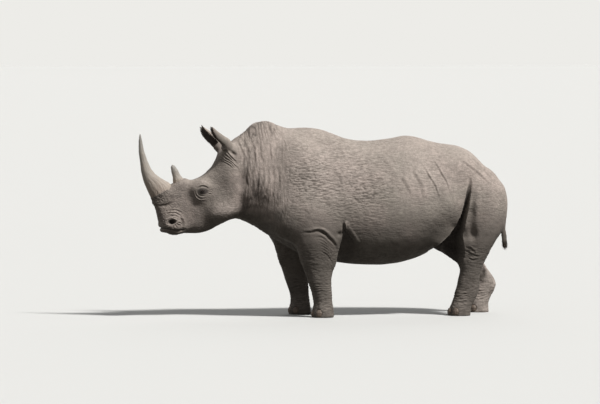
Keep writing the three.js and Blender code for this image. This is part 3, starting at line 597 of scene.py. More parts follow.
def limb_folds(s):
    """Wrinkles round knee, ankle and wrist."""
    for side in SIDES:
        near = side == "left"
        s.stand(side, 1.225 if near else 1.325, 0.575)
        for path in ([(-0.02, 0.06), (0.05, 0.02), (0.10, -0.03)],
                     [(-0.01, 0.02), (0.05, -0.02), (0.12, -0.04), (0.16, -0.03)],
                     [(0.0, -0.05), (0.06, -0.07), (0.13, -0.06)]):
            s.fold(path, 0.005, 0.006, 0.004, 0.35, 0.015)
        s.stand(None, 1.19 if near else 1.485, 0.125)
        for k in range(4):
            rise = 0.024 * k
            s.fold([(-0.07, rise), (-0.02, rise - 0.008), (0.03, rise - 0.004),
                    (0.09 - 0.01 * k, rise + 0.01)], 0.003, 0.006, 0.002, wander=0.022)
        s.stand(None, -0.09 if near else -0.19, 0.235)
        for k in range(4):
            rise = 0.024 * k
            s.fold([(-0.07, rise + 0.01), (-0.02, rise), (0.05, rise),
                    (0.10 - 0.01 * k, rise + 0.012)], 0.0025, 0.006, 0.0015, wander=0.022)


def neck_folds(s):
    """The slit and the folds at the root of each ear, and rolls of skin down the neck."""
    for side, eye in EYES.items():
        s.stand(side, eye.x, eye.z)
        # Painted shade in the slit at the ear's root.
        s.shade(s.dent((0.275, 0.335), (0.030, 0.014), 0.014, -40), 0.6)
        for k, reach in enumerate((0.03, 0.0, 0.04, 0.01, -0.01)):
            drop = 0.022 * k
            s.fold([(0.190 - 0.5 * drop, 0.375 - 0.9 * drop), (0.225 - 0.2 * drop, 0.335 - drop),
                    (0.285 + reach, 0.270 - reach - drop)],
                   0.0045 - 0.0004 * k, 0.0055, 0.004, 0.3)
        for k, x in enumerate((0.345, 0.385, 0.435, 0.50, 0.58)):
            s.fold([(x - 0.02 + 0.016 * k, 0.50 - 0.01 * k), (x + 0.004 * k, 0.42),
                    (x + 0.02, 0.32), (x + 0.012, 0.22)],
                   0.005 - 0.0007 * k, 0.010, 0.005, 0.4, 0.02)
        for k in range(7):
            x = 0.375 + 0.045 * k
            s.fold([(x + 0.01, 0.26), (x + 0.015, 0.12), (x - 0.005, 0.0), (x - 0.03, -0.12)],
                   0.0026, 0.010, 0.0026, 0.4, 0.025)


def muzzle_folds(s):
    """The wrinkles between horn, nostril and lips."""
    for side in SIDES:
        s.stand(side, HORN_LOW.x + 0.279, HORN_LOW.z - 0.163)
        s.fold([(-0.135, 0.140), (-0.085, 0.142), (-0.035, 0.155), (0.005, 0.168), (0.04, 0.175)],
               0.008, 0.013, 0.006, 0.45)
        for k, radius in enumerate((0.055, 0.080, 0.105)):
            s.fold(arc((0, 0), (1.3 * radius, radius), 150 - 12 * k, 15 + 10 * k),
                   0.0032, 0.0055, 0.003, 0.35)
        for k in range(7):
            turn = math.radians(-150 + 22 * k)
            way = np.array((math.cos(turn), math.sin(turn)))
            inner, outer = way * (0.052, 0.033), way * (0.105, 0.062)
            s.fold([inner, (inner + outer) / 2 - (0.002, 0), outer], 0.0035, 0.0045, 0.002)
        s.fold([(0.07, 0.05), (0.095, 0.0), (0.10, -0.045), (0.085, -0.075)], 0.006, 0.009, 0.004)


def mouth(s):
    """The line between the lips, round the front of the muzzle and back to both corners."""
    x, z = s.base[:, 0], s.base[:, 2]
    front = HORN_LOW.x + 0.12
    corner = EYES["left"].x - 0.158
    lip = np.interp(x, [front, front + 0.10, front + 0.21, corner, corner + 0.03],
                    [HORN_LOW.z - 0.213, HORN_LOW.z - 0.226, HORN_LOW.z - 0.245,
                     HORN_LOW.z - 0.236, HORN_LOW.z - 0.222])
    gap = z - lip
    reach = step(x, corner + 0.028, corner - 0.01)
    groove = np.exp(-(gap / 0.0075) ** 2) * reach
    upper = np.exp(-((gap - 0.026) / 0.017) ** 2) * reach
    lower = np.exp(-((gap + 0.022) / 0.014) ** 2) * reach
    s.push += 0.005 * upper + 0.004 * lower - 0.016 * groove
    # Painted shade along the line between the lips.
    s.deep = np.maximum(s.deep, groove)


def nostrils(s):
    """Wide hollows with a raised rim, pointed at the back."""
    for side in SIDES:
        s.stand(side)
        dx = s.base[:, 0] - NOSTRIL[0]
        dz = s.base[:, 2] - NOSTRIL[1] - 0.10 * dx
        half = 0.021 * np.clip(1.12 - dx / 0.075, 0.35, 1.3)
        far = np.hypot(dx / 0.039, dz / half)
        hole = step(far, 1.15, 0.35) * s.facing()
        rim = np.exp(-((far - 1.45) / 0.3) ** 2) * s.facing()
        s.push += 0.005 * rim - 0.040 * hole
        # Painted shadow inside the nostril.
        s.deep = np.maximum(s.deep, hole)


def lids(s):
    """Two lids over each eyeball with an almond opening, and the folds round them."""
    for side, way in SIDES.items():
        centre = np.array(EYES[side])
        out = np.array((-0.12, way, 0.10))
        out /= length(out)
        tilt = math.radians(12)
        slit = np.array((math.cos(tilt), 0, math.sin(tilt)))
        slit -= out * (slit @ out)
        slit /= length(slit)
        up = np.cross(slit, out)
        up *= np.sign(up[2])
        near = np.flatnonzero(length(s.net.points - centre) < 0.075)
        rel = s.net.points[near] - centre
        across, above, proud = rel @ slit, rel @ up, rel @ out
        far = np.hypot(across, above)
        shell = np.sqrt(np.maximum(LID_RADIUS ** 2 - far ** 2, 0))
        mound = 0.020 * np.exp(-(far / 0.034) ** 2)
        lid = np.maximum(shell, mound)
        blend = 0.006
        meet = np.maximum(blend - np.abs(lid - proud), 0) / blend
        lidded = np.maximum(lid, proud) + meet * meet * blend * 0.25
        half = np.where(above > 0.001, 0.0092, 0.0076)
        half *= np.maximum(1 - (across / HALF_SLIT) ** 2, 0.02)
        inside = np.abs(above - 0.001) / half
        parted = step(inside, 1.25, 0.85) * (np.abs(across) < HALF_SLIT)
        ball = np.sqrt(np.maximum(EYE_RADIUS ** 2 - far ** 2, 0))
        target = proud + (lidded - proud) * step(far, 0.066, 0.04)
        target += (ball - 0.006 - target) * parted
        move = np.where(proud > -0.02, target - proud, 0)
        s.net.points[near] += move[:, None] * out
        # Painted shade in the opening between the lids.
        s.deep[near] = np.maximum(s.deep[near], step(inside, 1.9, 1.1) * (far < 0.024))


def lid_folds(s):
    """Three bags below each eye, two creases above, and crow's feet behind."""
    bags = [[(-0.043, 0.012), (-0.047, -0.012), (-0.028, -0.036), (0.004, -0.043), (0.034, -0.036)],
            [(-0.062, 0.012), (-0.065, -0.016), (-0.042, -0.050), (-0.004, -0.064), (0.036, -0.060)],
            [(-0.080, 0.006), (-0.078, -0.028), (-0.052, -0.070), (-0.010, -0.088), (0.034, -0.088)]]
    for side, eye in EYES.items():
        s.stand(side, eye.x, eye.z)
        for path in bags:
            s.fold(path, 0.005, 0.0048, 0.0036, 0.3, 0.007)
        s.fold(arc((0, -0.004), (0.034, 0.030), 160, 20), 0.006, 0.005, -0.004, wander=0.003)
        s.fold(arc((0.005, -0.002), (0.052, 0.046), 150, 30), 0.004, 0.006, 0.004, wander=0.005)
        for k in range(3):
            s.fold([(0.030, 0.006 - 0.008 * k), (0.055, 0.008 - 0.014 * k),
                    (0.085, 0.014 - 0.022 * k)], 0.0035, 0.0045, 0.002, wander=0.006)


def wrinkles(s):
    """The skin's own grain: along the trunk, round the neck and legs, and fine on the head."""
    p = s.base
    x, _, z = p.T
    head = step(x, HEAD_BACK - 0.02, HEAD_BACK - 0.14)
    neck = step(x, HEAD_BACK - 0.12, HEAD_BACK + 0.02) * step(x, NECK_BACK + 0.24, NECK_BACK)
    leg = in_any(p, LIMBS, -0.05, 0.08) * step(z, 0.72, 0.6)
    small = in_any(p, [*EARS, "tail"], 0.0)
    trunk = np.clip(1 - head - neck - leg, 0, 1) * (1 - small)

    bend = 0.25 * noise(p / 0.16, 3)[:, None]
    patches = step(noise(p / 0.30, 5), -0.35, 0.35)
    rough = np.maximum(np.exp(-((x + 0.15) / 0.32) ** 2 - ((z - 1.27) / 0.2) ** 2),
                       np.exp(-((x - 0.30) / 0.15) ** 2 - ((z - 1.12) / 0.2) ** 2))
    strength = trunk * (0.34 + 0.3 * patches + 0.6 * rough) * (1 - leg) * step(z, 0.55, 1.05)
    strength *= 1 - 0.35 * step(x, 0.45, 0.75)
    bark = cracks(p / (0.085, 0.021, 0.0175) + bend, 11, 0.16)
    fine = cracks(p / (0.045, 0.013, 0.0105) - bend, 12, 0.2)
    # Each grain here also paints shade into its cracks.
    s.grain(strength, bark, fine, (0.0055, 0.0016), (0.7, 0.4))

    collar = cracks(p / (0.026, 0.12, 0.15) + bend, 21, 0.17)
    thread = cracks(p / (0.012, 0.05, 0.06) + bend, 22, 0.2)
    s.grain(neck * (0.3 + 0.7 * patches), collar, thread, (0.0030, 0.0016), (0.9, 0.5))

    bands = cracks(p / (0.07, 0.07, 0.017) + bend, 31, 0.17)
    creases = cracks(p / (0.02, 0.02, 0.010), 32, 0.2)
    joints = 0.65 + 0.35 * np.maximum(np.exp(-((z - 0.56) / 0.09) ** 2),
                                      np.exp(-((z - 0.17) / 0.09) ** 2))
    s.grain(leg * joints, bands, creases, (0.0034, 0.0012), (0.6, 0.35))

    snout = step(x, HORN_LOW.x + 0.42, HORN_LOW.x + 0.22)
    lines = cracks(p / (0.034, 0.03, 0.016) + bend, 41, 0.16)
    pores = cracks(p / 0.011, 42, 0.22)
    face = head * (1 - small) * (0.45 + 0.75 * snout)
    s.grain(face, lines, pores, (0.0022, 0.0009), (0.7, 0.4))

    s.push += (trunk + neck) * 0.0035 * noise(p / 0.21, 51) + leg * 0.0025 * noise(p / 0.09, 52)
    s.push += (1 - small) * 0.0016 * noise(p / 0.07, 53)


def gap_to(points, node):
    """How far each point is from the surface of a node."""
    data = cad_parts[node].data
    tree = BVHTree.FromPolygons([v.co for v in data.vertices],
                                [list(f.vertices) for f in data.polygons])
    return np.array([tree.find_nearest(point)[3] for point in points])


def horn_collars(s):
    """Rough skin round the roots of the horns."""
    rough = np.zeros(len(s.base))
    for node in ("horn_front", "horn_rear"):
        close = np.flatnonzero(in_box(s.base, node, 0.03, 0.001) > 0.5)
        gap = gap_to(s.base[close], node)
        rough[close] = np.maximum(rough[close], np.exp(-((gap - 0.006) / 0.014) ** 2))
    grain = cracks(s.base / (0.008, 0.008, 0.02), 64, 0.25)
    s.push += rough * (0.003 - 0.0025 * grain)
    s.deep = np.maximum(s.deep, rough * (0.1 + 0.35 * grain))


def skin_shape():
    """The skin's net with all its folds, and the sculpting that made them."""
    net = smooth_skin()
    s = Sculpt(net)
    head_forms(s)
    body_forms(s)
    s.settle()
    hollows(s)
    flank_folds(s)
    limb_folds(s)
    neck_folds(s)
    muzzle_folds(s)
    mouth(s)
    nostrils(s)
    s.settle()
    lid_folds(s)
    wrinkles(s)
    horn_collars(s)
    feet = step(s.base[:, 2], 0.004, 0.03)
    s.push *= feet
    s.apply()
    lids(s)
    net.points[:, 2] = np.where(feet > 0, np.maximum(net.points[:, 2], 0), net.points[:, 2])
    return net, s


# ---- Unwrapping ----

def sheets(points, smooth_normals, triangles, gap=0.012):
    """A map of flat sheets: each part of the body seen square from six sides."""
    centre = points[triangles].mean(1)
    facing = smooth_normals[triangles].sum(1)
    part = np.zeros(len(triangles), int)
    part[centre[:, 0] < HEAD_BACK - 0.02] = 1
    for k, node in enumerate([*LIMBS, *EARS, "tail"]):
        part[in_box(centre, node, -0.004, 0.001) > 0.5] = 2 + k
    axis = np.abs(facing).argmax(1)
    sign = (np.take_along_axis(facing, axis[:, None], 1)[:, 0] > 0).astype(int)
    chart = part * 6 + axis * 2 + sign
    uv = np.zeros((len(triangles), 3, 2))
    boxes = []
    for label in np.unique(chart):
        mine = chart == label
        keep = [k for k in range(3) if k != (label % 6) // 2]
        flat = points[triangles[mine]][:, :, keep]
        low, high = flat.min((0, 1)), flat.max((0, 1))
        uv[mine] = flat - low
        boxes.append((high - low, mine))
    boxes.sort(key=lambda item: -item[0][1])
    area = sum(float(size.prod()) for size, _ in boxes)
    wide = math.sqrt(area) * 1.22
    while True:
        spots, x, y, row = [], gap, gap, 0.0
        for size, _ in boxes:
            if x + size[0] + gap > wide and x > gap:
                x, y, row = gap, y + row + gap, 0.0
            spots.append((x, y))
            x += size[0] + gap
            row = max(row, size[1])
        if y + row + gap <= wide and all(size[0] + 2 * gap <= wide for size, _ in boxes):
            break
        wide *= 1.03
    for (size, mine), spot in zip(boxes, spots):
        uv[mine] += spot
    return (uv / wide).reshape(-1, 2)


def give_map(piece, uv):
    """Lays a piece's map on it, one place for each corner of each triangle."""
    layer = piece.data.uv_layers.new(name="OFBake")
    layer.data.foreach_set("uv", np.ascontiguousarray(uv, np.float32).ravel())


# ---- Materials ----

class Paint:
    """Builds one node material; sockets take numbers, colours or other sockets."""

    def __init__(self, name):
        self.material = bpy.data.materials.new(name)
        self.material.use_nodes = True
        self.tree = self.material.node_tree
        self.shader = self.tree.nodes["Principled BSDF"]

    def put(self, socket, value):
        if isinstance(value, bpy.types.NodeSocket):
            self.tree.links.new(value, socket)
        elif isinstance(value, (tuple, list)) and len(socket.default_value) == 4:
            socket.default_value = (*value[:3], 1.0)
        else:
            socket.default_value = value

    def node(self, kind, out=0, settings=(), **inputs):
        """Adds a node and gives back one output. Inputs go by name, or by number as _0, _1."""
        made = self.tree.nodes.new(kind)
        for key, value in dict(settings).items():
            setattr(made, key, value)
        for key, value in inputs.items():
            name = key.replace("_", " ")
            self.put(made.inputs[name] if name in made.inputs else made.inputs[int(key[1:])], value)
        return made.outputs[out]

    def place(self):
        return self.node("ShaderNodeTexCoord", "Object")

    def noise(self, scale, detail=3.0, roughness=0.55, vector=None):
        return self.node("ShaderNodeTexNoise", Vector=vector or self.place(), Scale=scale,
                         Detail=detail, Roughness=roughness)

    def cells(self, scale, vector):
        """How far each place is from the edge of its cell."""
        return self.node("ShaderNodeTexVoronoi", "Distance", {"feature": "DISTANCE_TO_EDGE"},
                         Vector=vector, Scale=scale)

    def attribute(self, name):
        return self.node("ShaderNodeAttribute", "Fac", {"attribute_name": name})

    def plus(self, a, b):
        return self.node("ShaderNodeMath", 0, {"operation": "ADD"}, _0=a, _1=b)

    def times(self, a, b):
        return self.node("ShaderNodeMath", 0, {"operation": "MULTIPLY"}, _0=a, _1=b)

    def span(self, value, low, high, to_low=0.0, to_high=1.0):
        """Eases from to_low to to_high while the value runs from low to high."""
        made = self.tree.nodes.new("ShaderNodeMapRange")
        made.interpolation_type = "SMOOTHSTEP"
        for socket, number in zip(made.inputs[:5], (value, low, high, to_low, to_high)):
            self.put(socket, number)
        return made.outputs[0]

    def mix(self, share, a, b):
        made = self.tree.nodes.new("ShaderNodeMix")
        made.data_type = "RGBA"
        self.put(made.inputs[0], share)
        self.put(made.inputs[6], a)
        self.put(made.inputs[7], b)
        return made.outputs[2]

    def over(self, base, share, r, g, b, most=None):
        """The base with a colour laid over it where share says, at most so strongly."""
        return self.mix(share if most is None else self.times(share, most), base, colour(r, g, b))

    def up(self):
        """How much the surface looks up, from -1 to 1."""
        normal = self.node("ShaderNodeNewGeometry", "Normal")
        return self.node("ShaderNodeSeparateXYZ", "Z", Vector=normal)

    def bump(self, height, distance, strength=1.0, after=None):
        made = self.tree.nodes.new("ShaderNodeBump")
        self.put(made.inputs["Height"], height)
        self.put(made.inputs["Distance"], distance)
        self.put(made.inputs["Strength"], strength)
        if after is not None:
            self.put(made.inputs["Normal"], after)
        return made.outputs[0]

    def finish(self, base, roughness, normal=None, **fixed):
        """Sets the shader's sockets; fixed ones take plain numbers."""
        self.put(self.shader.inputs["Base Color"], base)
        self.put(self.shader.inputs["Roughness"], roughness)
        if normal is not None:
            self.put(self.shader.inputs["Normal"], normal)
        for key, value in fixed.items():
            self.shader.inputs[key.replace("_", " ")].default_value = value
        return self.material


def seen(tree):
    """1 where the camera, a reflection or a view through glass looks, 0 where light bounces."""
    path = tree.nodes.new("ShaderNodeLightPath")
    share = path.outputs["Is Camera Ray"]
    for ray in ("Is Glossy Ray", "Is Transmission Ray"):
        either = tree.nodes.new("ShaderNodeMath")
        either.operation = "MAXIMUM"
        tree.links.new(share, either.inputs[0])
        tree.links.new(path.outputs[ray], either.inputs[1])
        share = either.outputs[0]
    return share


def colour(r, g, b):
    """An sRGB colour of 0 to 255 as the linear one that shaders take."""
    parts = [v / 255 for v in (r, g, b)]
    return tuple(v / 12.92 if v <= 0.04045 else ((v + 0.055) / 1.055) ** 2.4 for v in parts)


def hide():
    """Dry wrinkled hide: grey-brown, paler on top, with dirt and painted shade low down, pale dusting
    and painted light in patches, and painted shade underneath, in its folds and in its hollows.
    """
    p = Paint("hide")
    broad = p.span(p.noise(2.6, 4), 0.36, 0.64)
    blotch = p.span(p.noise(11.0, 5, 0.62), 0.34, 0.68)
    mottle = p.span(p.noise(36.0, 3, 0.6), 0.34, 0.64)
    speck = p.span(p.noise(95.0, 3, 0.6), 0.30, 0.72)
    base = p.mix(broad, colour(174, 164, 152), colour(199, 182, 171))
    base = p.over(base, blotch, 154, 144, 136, 0.5)
    # Dirt and painted shade on the legs, the lower flank and the head.
    base = p.over(base, p.attribute("dirt_and_painted_shade"), 82, 77, 70, 0.85)
    # Paler on the faces that look up, in blotches.
    paler_up = p.span(p.up(), -0.05, 0.95)
    paler_up = p.times(paler_up, p.span(blotch, 0.0, 1.0, 0.55, 0.95))
    base = p.over(base, paler_up, 202, 188, 176, 0.75)
    # Pale dusting and painted light: the far hind leg, the jaw, and patches on trunk and neck.
    pale = p.times(p.attribute("dust_and_painted_light"), p.span(blotch, 0.0, 1.0, 1.0, 0.6))
    base = p.over(base, pale, 224, 208, 197)
    # Painted shade on the faces that look down.
    underside_shade = p.span(p.up(), -0.2, -0.8)
    base = p.over(base, underside_shade, 66, 63, 57, 0.85)
    base = p.over(base, mottle, 120, 112, 105, 0.36)
    base = p.over(base, speck, 112, 104, 97, 0.25)
    # Painted shade in creases, cracks, nostrils, the mouth and the lids.
    base = p.over(base, p.attribute("deep"), 72, 65, 59, 0.8)
    # Painted shade and shadow in hollows: armpit, groin, behind the cheek, ear roots, nostrils, round
    # the eyes and inside the ears.
    base = p.over(base, p.attribute("dark"), 40, 35, 33, 0.92)
    drift = p.node("ShaderNodeTexNoise", "Color", Vector=p.place(), Scale=14.0, Detail=2.0)
    bent = p.node("ShaderNodeVectorMath", 0, {"operation": "MULTIPLY_ADD"}, _0=drift,
                  _1=(0.035, 0.035, 0.035), _2=p.place())
    plates = p.span(p.cells(74.0, bent), 0.0, 0.26)
    grains = p.span(p.cells(190.0, bent), 0.0, 0.3)
    grit = p.noise(260.0, 2, 0.5)
    relief = p.plus(p.times(plates, 0.6), p.times(grains, 0.25))
    relief = p.plus(relief, p.times(grit, 0.5))
    base = p.over(base, p.span(plates, 0.0, 0.6, 0.15, 0.0), 90, 82, 76)
    folds = p.bump(p.noise(38.0, 4, 0.6), 0.0045, 0.6)
    normal = p.bump(relief, 0.0013, 0.55, folds)
    rough = p.span(blotch, 0.0, 1.0, 0.80, 0.94)
    return p.finish(base, rough, normal, Specular_IOR_Level=0.28)


def horn():
    """Fibrous keratin: brown and frayed at the root, pale grey towards the tip."""
    p = Paint("horn")
    rise = p.attribute("rise")
    around = p.attribute("around")
    spot = p.node("ShaderNodeCombineXYZ", 0, X=p.times(around, 46.0), Y=p.times(rise, 5.0))
    fibre = p.node("ShaderNodeTexNoise", 0, Vector=spot, Scale=1.0, Detail=5.0, Roughness=0.6)
    blotch = p.noise(24.0, 4, 0.6)
    base = p.mix(p.span(rise, 0.0, 0.5), colour(170, 153, 139), colour(172, 163, 152))
    base = p.over(base, p.span(rise, 0.45, 0.95), 158, 155, 148)
    base = p.over(base, p.span(p.plus(rise, p.times(blotch, 0.16)), 0.26, 0.06), 132, 117, 106)
    base = p.over(base, p.span(fibre, 0.42, 0.62, 0.0, 0.42), 112, 96, 84)
    base = p.over(base, p.span(blotch, 0.5, 0.72, 0.0, 0.35), 186, 172, 155)
    normal = p.bump(fibre, 0.003, 0.8)
    normal = p.bump(p.noise(180.0, 3), 0.0012, 0.5, normal)
    rough = p.span(rise, 0.0, 0.8, 0.78, 0.5)
    return p.finish(base, rough, normal, Specular_IOR_Level=0.4)


def nail():
    """Streaked brown keratin, worn pale at the ground."""
    p = Paint("nail")
    stretched = p.node("ShaderNodeMapping", Vector=p.place(), Scale=(220.0, 220.0, 18.0))
    streak = p.noise(1.0, 4, 0.6, stretched)
    base = p.mix(p.span(streak, 0.4, 0.62), colour(112, 98, 86), colour(82, 72, 65))
    worn = p.span(p.node("ShaderNodeSeparateXYZ", "Z", Vector=p.place()), 0.03, 0.005)
    base = p.over(base, worn, 150, 132, 114, 0.7)
    base = p.over(base, p.span(p.noise(60.0, 4), 0.45, 0.7, 0.0, 0.5), 142, 124, 108)
    normal = p.bump(streak, 0.0016, 0.7)
    return p.finish(base, p.span(streak, 0.3, 0.7, 0.5, 0.68), normal, Specular_IOR_Level=0.4)


def eye():
    """Dark brown iris, black pupil and a wet clear coat."""
    p = Paint("eye")
    off = p.attribute("off_axis")
    ring = p.noise(700.0, 3, 0.6)
    iris = p.mix(p.span(ring, 0.35, 0.65), colour(34, 22, 15), colour(56, 38, 26))
    base = p.mix(p.span(off, 0.24, 0.29), colour(6, 5, 5), iris)
    base = p.over(base, p.span(off, 0.55, 0.62), 20, 15, 13)
    base = p.over(base, p.span(off, 0.7, 0.95), 58, 46, 41)
    normal = p.bump(ring, 0.0002, 0.2)
    return p.finish(base, p.span(ring, 0.0, 1.0, 0.12, 0.22), normal, Coat_Weight=0.5,
                    Coat_Roughness=0.04, Specular_IOR_Level=0.1)


def bristle():
    """Coarse dark hair, paler towards its tips."""
    p = Paint("bristle")
    strand = p.noise(140.0, 2)
    base = p.mix(p.span(strand, 0.35, 0.65), colour(44, 36, 31), colour(84, 70, 59))
    base = p.over(base, p.span(p.attribute("tip"), 0.3, 1.0, 0.0, 0.5), 112, 94, 78)
    normal = p.bump(p.noise(900.0, 2), 0.0004, 0.4)
    return p.finish(base, p.span(strand, 0.2, 0.8, 0.55, 0.75), normal, Specular_IOR_Level=0.35)


# ---- Pieces ----

def dressed(piece, material, nodes=()):
    """Gives a piece its material, hangs it on the root, and hides the nodes it stands for."""
    piece.data.materials.append(material)
    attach(piece, "root")
    if nodes:
        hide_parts(*nodes)
    return piece


def ear_axes(side):
    """An ear's root, and its three directions: to the tip, across, and out of the cup."""
    low, high = corners(f"ear_{side}")
    way = SIDES[side]
    near, far = (low[1], high[1]) if way > 0 else (high[1], low[1])
    root = np.array((high[0] - 0.037, near + 0.041 * way, low[2] + 0.03))
    axis = np.array((low[0] + 0.011, far - 0.006 * way, high[2])) - root
    axis /= length(axis)
    opens = np.array(EAR_OPENS)
    opens -= axis * (opens @ axis)
    opens /= length(opens)
    return root, np.stack([axis, np.cross(axis, opens), opens])


def ear_spots(points, side):
    """Which points are an ear's, where they are on its own directions, and its length."""
    root, axes = ear_axes(side)
    low, high = corners(f"ear_{side}")
    mine = np.flatnonzero(((points > low - 0.003) & (points < high + 0.003)).all(1))
    spots = (points[mine] - root) @ axes.T
    own = (np.hypot(spots[:, 1], spots[:, 2]) < 0.085) & (spots[:, 0] > 0.05)
    return mine[own], spots[own], spots[:, 0].max()


def hollow_side(spots, normals):
    """1 on the inside of a cup that runs along the first direction, 0 on its back."""
    slices = (spots[:, 0] / 0.01).astype(int)
    count = np.maximum(np.bincount(slices), 1)
    centre = np.stack([np.bincount(slices, spots[:, k]) / count for k in (1, 2)], 1)
    away = spots[:, 1:] - centre[slices]
    away /= np.maximum(length(away), 1e-6)[:, None]
    return step(-(away * normals[:, 1:]).sum(1), 0.0, 0.4)


def skin_tints(s):
    """For each point: painted shade in its folds, dirt and painted shade low down, pale dusting and
    painted light in patches, and painted shade in its hollows.
    """
    p = s.base
    x, z = p[:, 0], p[:, 2]
    eye = EYES["left"]
    low = in_any(p, LIMBS, 0.0, 0.25)
    # The far hind leg gets painted light: less darkening low down and more paleness.
    far_hind = in_box(p, "leg_hind_right", -0.02, 0.1) * step(z, 0.62, 0.5)
    head = step(x, HEAD_BACK - 0.02, HEAD_BACK - 0.2)
    # The jaw is spared the darkening low down and gets painted light.
    jaw = np.exp(-((x - eye.x - 0.23) / 0.14) ** 2 - ((z - eye.z + 0.16) / 0.085) ** 2)
    # Dirt and painted shade: the legs, the lower flank and the head darker, the jaw spared.
    dirt_and_painted_shade = np.clip(0.95 * low * step(z, 0.84, 0.5) + 0.5 * head * (1 - jaw)
                     + (0.76 + 0.15 * step(x, 0.3, -0.1)) * (1 - head) * step(z, 1.08, 0.76), 0, 1)
    dirt_and_painted_shade *= 1 - 0.6 * far_hind
    dust_and_painted_light = 0.45 * far_hind
    # Patches of pale dusting and painted light on the shoulder, mid-trunk, jaw and neck.
    for centre_x, centre_z, wide, tall, share in (
            (-0.12, 1.22, 0.34, 0.24, 0.6), (0.82, 1.2, 0.2, 0.2, 0.25),
            (eye.x + 0.22, eye.z - 0.17, 0.12, 0.08, 0.9), (eye.x + 0.72, eye.z, 0.07, 0.12, 0.7)):
        far = np.hypot((x - centre_x) / wide, (z - centre_z) / tall)
        dust_and_painted_light = np.maximum(dust_and_painted_light, share * np.exp(-far ** 2))
    # Painted shade and shadow in the hollows noted while sculpting.
    dark = 0.8 * s.dark
    for side, way in SIDES.items():
        # Painted shadow in and round each nostril.
        nose = np.array((NOSTRIL[0], way * 0.12, NOSTRIL[1]))
        dark = np.maximum(dark, step(length((p - nose) / (0.036, 0.05, 0.022)), 1.2, 0.6))
        # Painted shade round each eye, partly the dark wet-stained skin there.
        socket = length((p - np.array(EYES[side])) / (0.046, 0.06, 0.027))
        dark = np.maximum(dark, 0.9 * step(socket, 1.35, 0.75))
        # Painted shade on the inside of each ear's cup.
        mine, spots, _ = ear_spots(p, side)
        inner = hollow_side(spots, s.out[mine] @ ear_axes(side)[1].T)
        dark[mine] = np.maximum(dark[mine], 0.8 * inner * step(spots[:, 0], 0.10, 0.13))
    return {"deep": np.clip(s.deep, 0, 1), "dirt_and_painted_shade": dirt_and_painted_shade, "dust_and_painted_light": dust_and_painted_light, "dark": dark}


def make_skin():
    """The skin, its map, and with them its net: bristles need both."""
    net, s = skin_shape()
    skin = piece_of("skin", net.points, net.triangles, skin_tints(s))
    uv = sheets(net.points, s.out, net.triangles)
    give_map(skin, uv)
    dressed(skin, hide(), FLESH)
    return net, uv


def make_horn(name):
    """A horn with fibres down its length and a frayed collar at its root."""
    net = net_of([name], HORN_NET)
    net.smooth(np.full(len(net.points), rounds_for(0.008, HORN_NET)))
    low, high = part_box(name)
    tall = high.z - low.z
    rise = (net.points[:, 2] - low.z) / tall
    levels = 24
    slices = np.clip((rise * levels).astype(int), 0, levels - 1)
    count = np.maximum(np.bincount(slices, minlength=levels), 1)
    axis_x = np.bincount(slices, net.points[:, 0], levels) / count
    core = np.interp(rise, (np.arange(levels) + 0.5) / levels, axis_x)
    turn = np.arctan2(net.points[:, 1], net.points[:, 0] - core)
    ring = np.stack([np.cos(turn), np.sin(turn)], 1)
    size = np.hypot(net.points[:, 1], net.points[:, 0] - core)
    along = net.points[:, 2:] / 0.16
    grooves = cracks(np.concatenate([ring * (size / 0.011)[:, None], along], 1), 61, 0.2)
    frayed = cracks(np.concatenate([ring * 9, net.points[:, 2:] / 0.03], 1), 62, 0.25)
    root = step(rise, 0.32, 0.02)
    push = -0.0012 * grooves - root * FRAY * (0.4 + frayed) + 0.0008 * noise(net.points / 0.02, 63)
    points = net.points + net.normals() * push[:, None]
    values = {"rise": rise, "around": turn / math.tau + 0.5}
    made = piece_of(f"{name}_fibre", points, net.triangles, values)
    return dressed(made, HORN_PAINT, [name])


def make_nail(node):
    """A nail with faint upright ridges."""
    net = net_of([node], NAIL_NET)
    net.smooth(np.full(len(net.points), rounds_for(0.004, NAIL_NET)))
    ridges = noise(net.points / (0.009, 0.009, 0.06), 71)
    points = net.points + net.normals() * (0.0009 * ridges)[:, None]
    points[:, 2] = np.maximum(points[:, 2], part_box(node)[0].z)
    made = piece_of(f"{node}_plate", points, net.triangles)
    return dressed(made, NAIL_PAINT, [node])


def make_eye(side, way):
    """An eyeball with a cornea that stands a little proud."""
    shape = bmesh.new()
    bmesh.ops.create_uvsphere(shape, u_segments=48, v_segments=32, radius=EYE_RADIUS)
    bmesh.ops.triangulate(shape, faces=shape.faces)
    points = np.array([v.co for v in shape.verts])
    triangles = np.array([[v.index for v in f.verts] for f in shape.faces])
    shape.free()
    gaze = np.array((-0.25, way, 0.05))
    gaze /= length(gaze)
    along = points @ gaze / EYE_RADIUS
    off = np.sqrt(np.clip(1 - along ** 2, 0, 1))
    off = np.where(along > 0, off, 1.0)
    points = points * (1 + 0.06 * np.exp(-(off / 0.45) ** 2) * (along > 0))[:, None]
    points += np.array(EYES[side])
    made = piece_of(f"eyeball_{side}", points, triangles, {"off_axis": off})
    return dressed(made, EYE_PAINT, [f"eye_{side}"])


# ---- Bristles ----

def rooting_of(net, uv):
    """The points of the skin that bristles may stand on, and where each lies on its map."""
    corner_of = np.zeros(len(net.points), int)
    corner_of[net.triangles.ravel()] = np.arange(net.triangles.size)
    hairy = in_any(net.points, [*EARS, "tail"], 0.01, 0.01) > 0.5
    for centre in EYES.values():
        hairy |= length(net.points - np.array(centre)) < 0.04
    return net.points[hairy], uv[corner_of[hairy]]


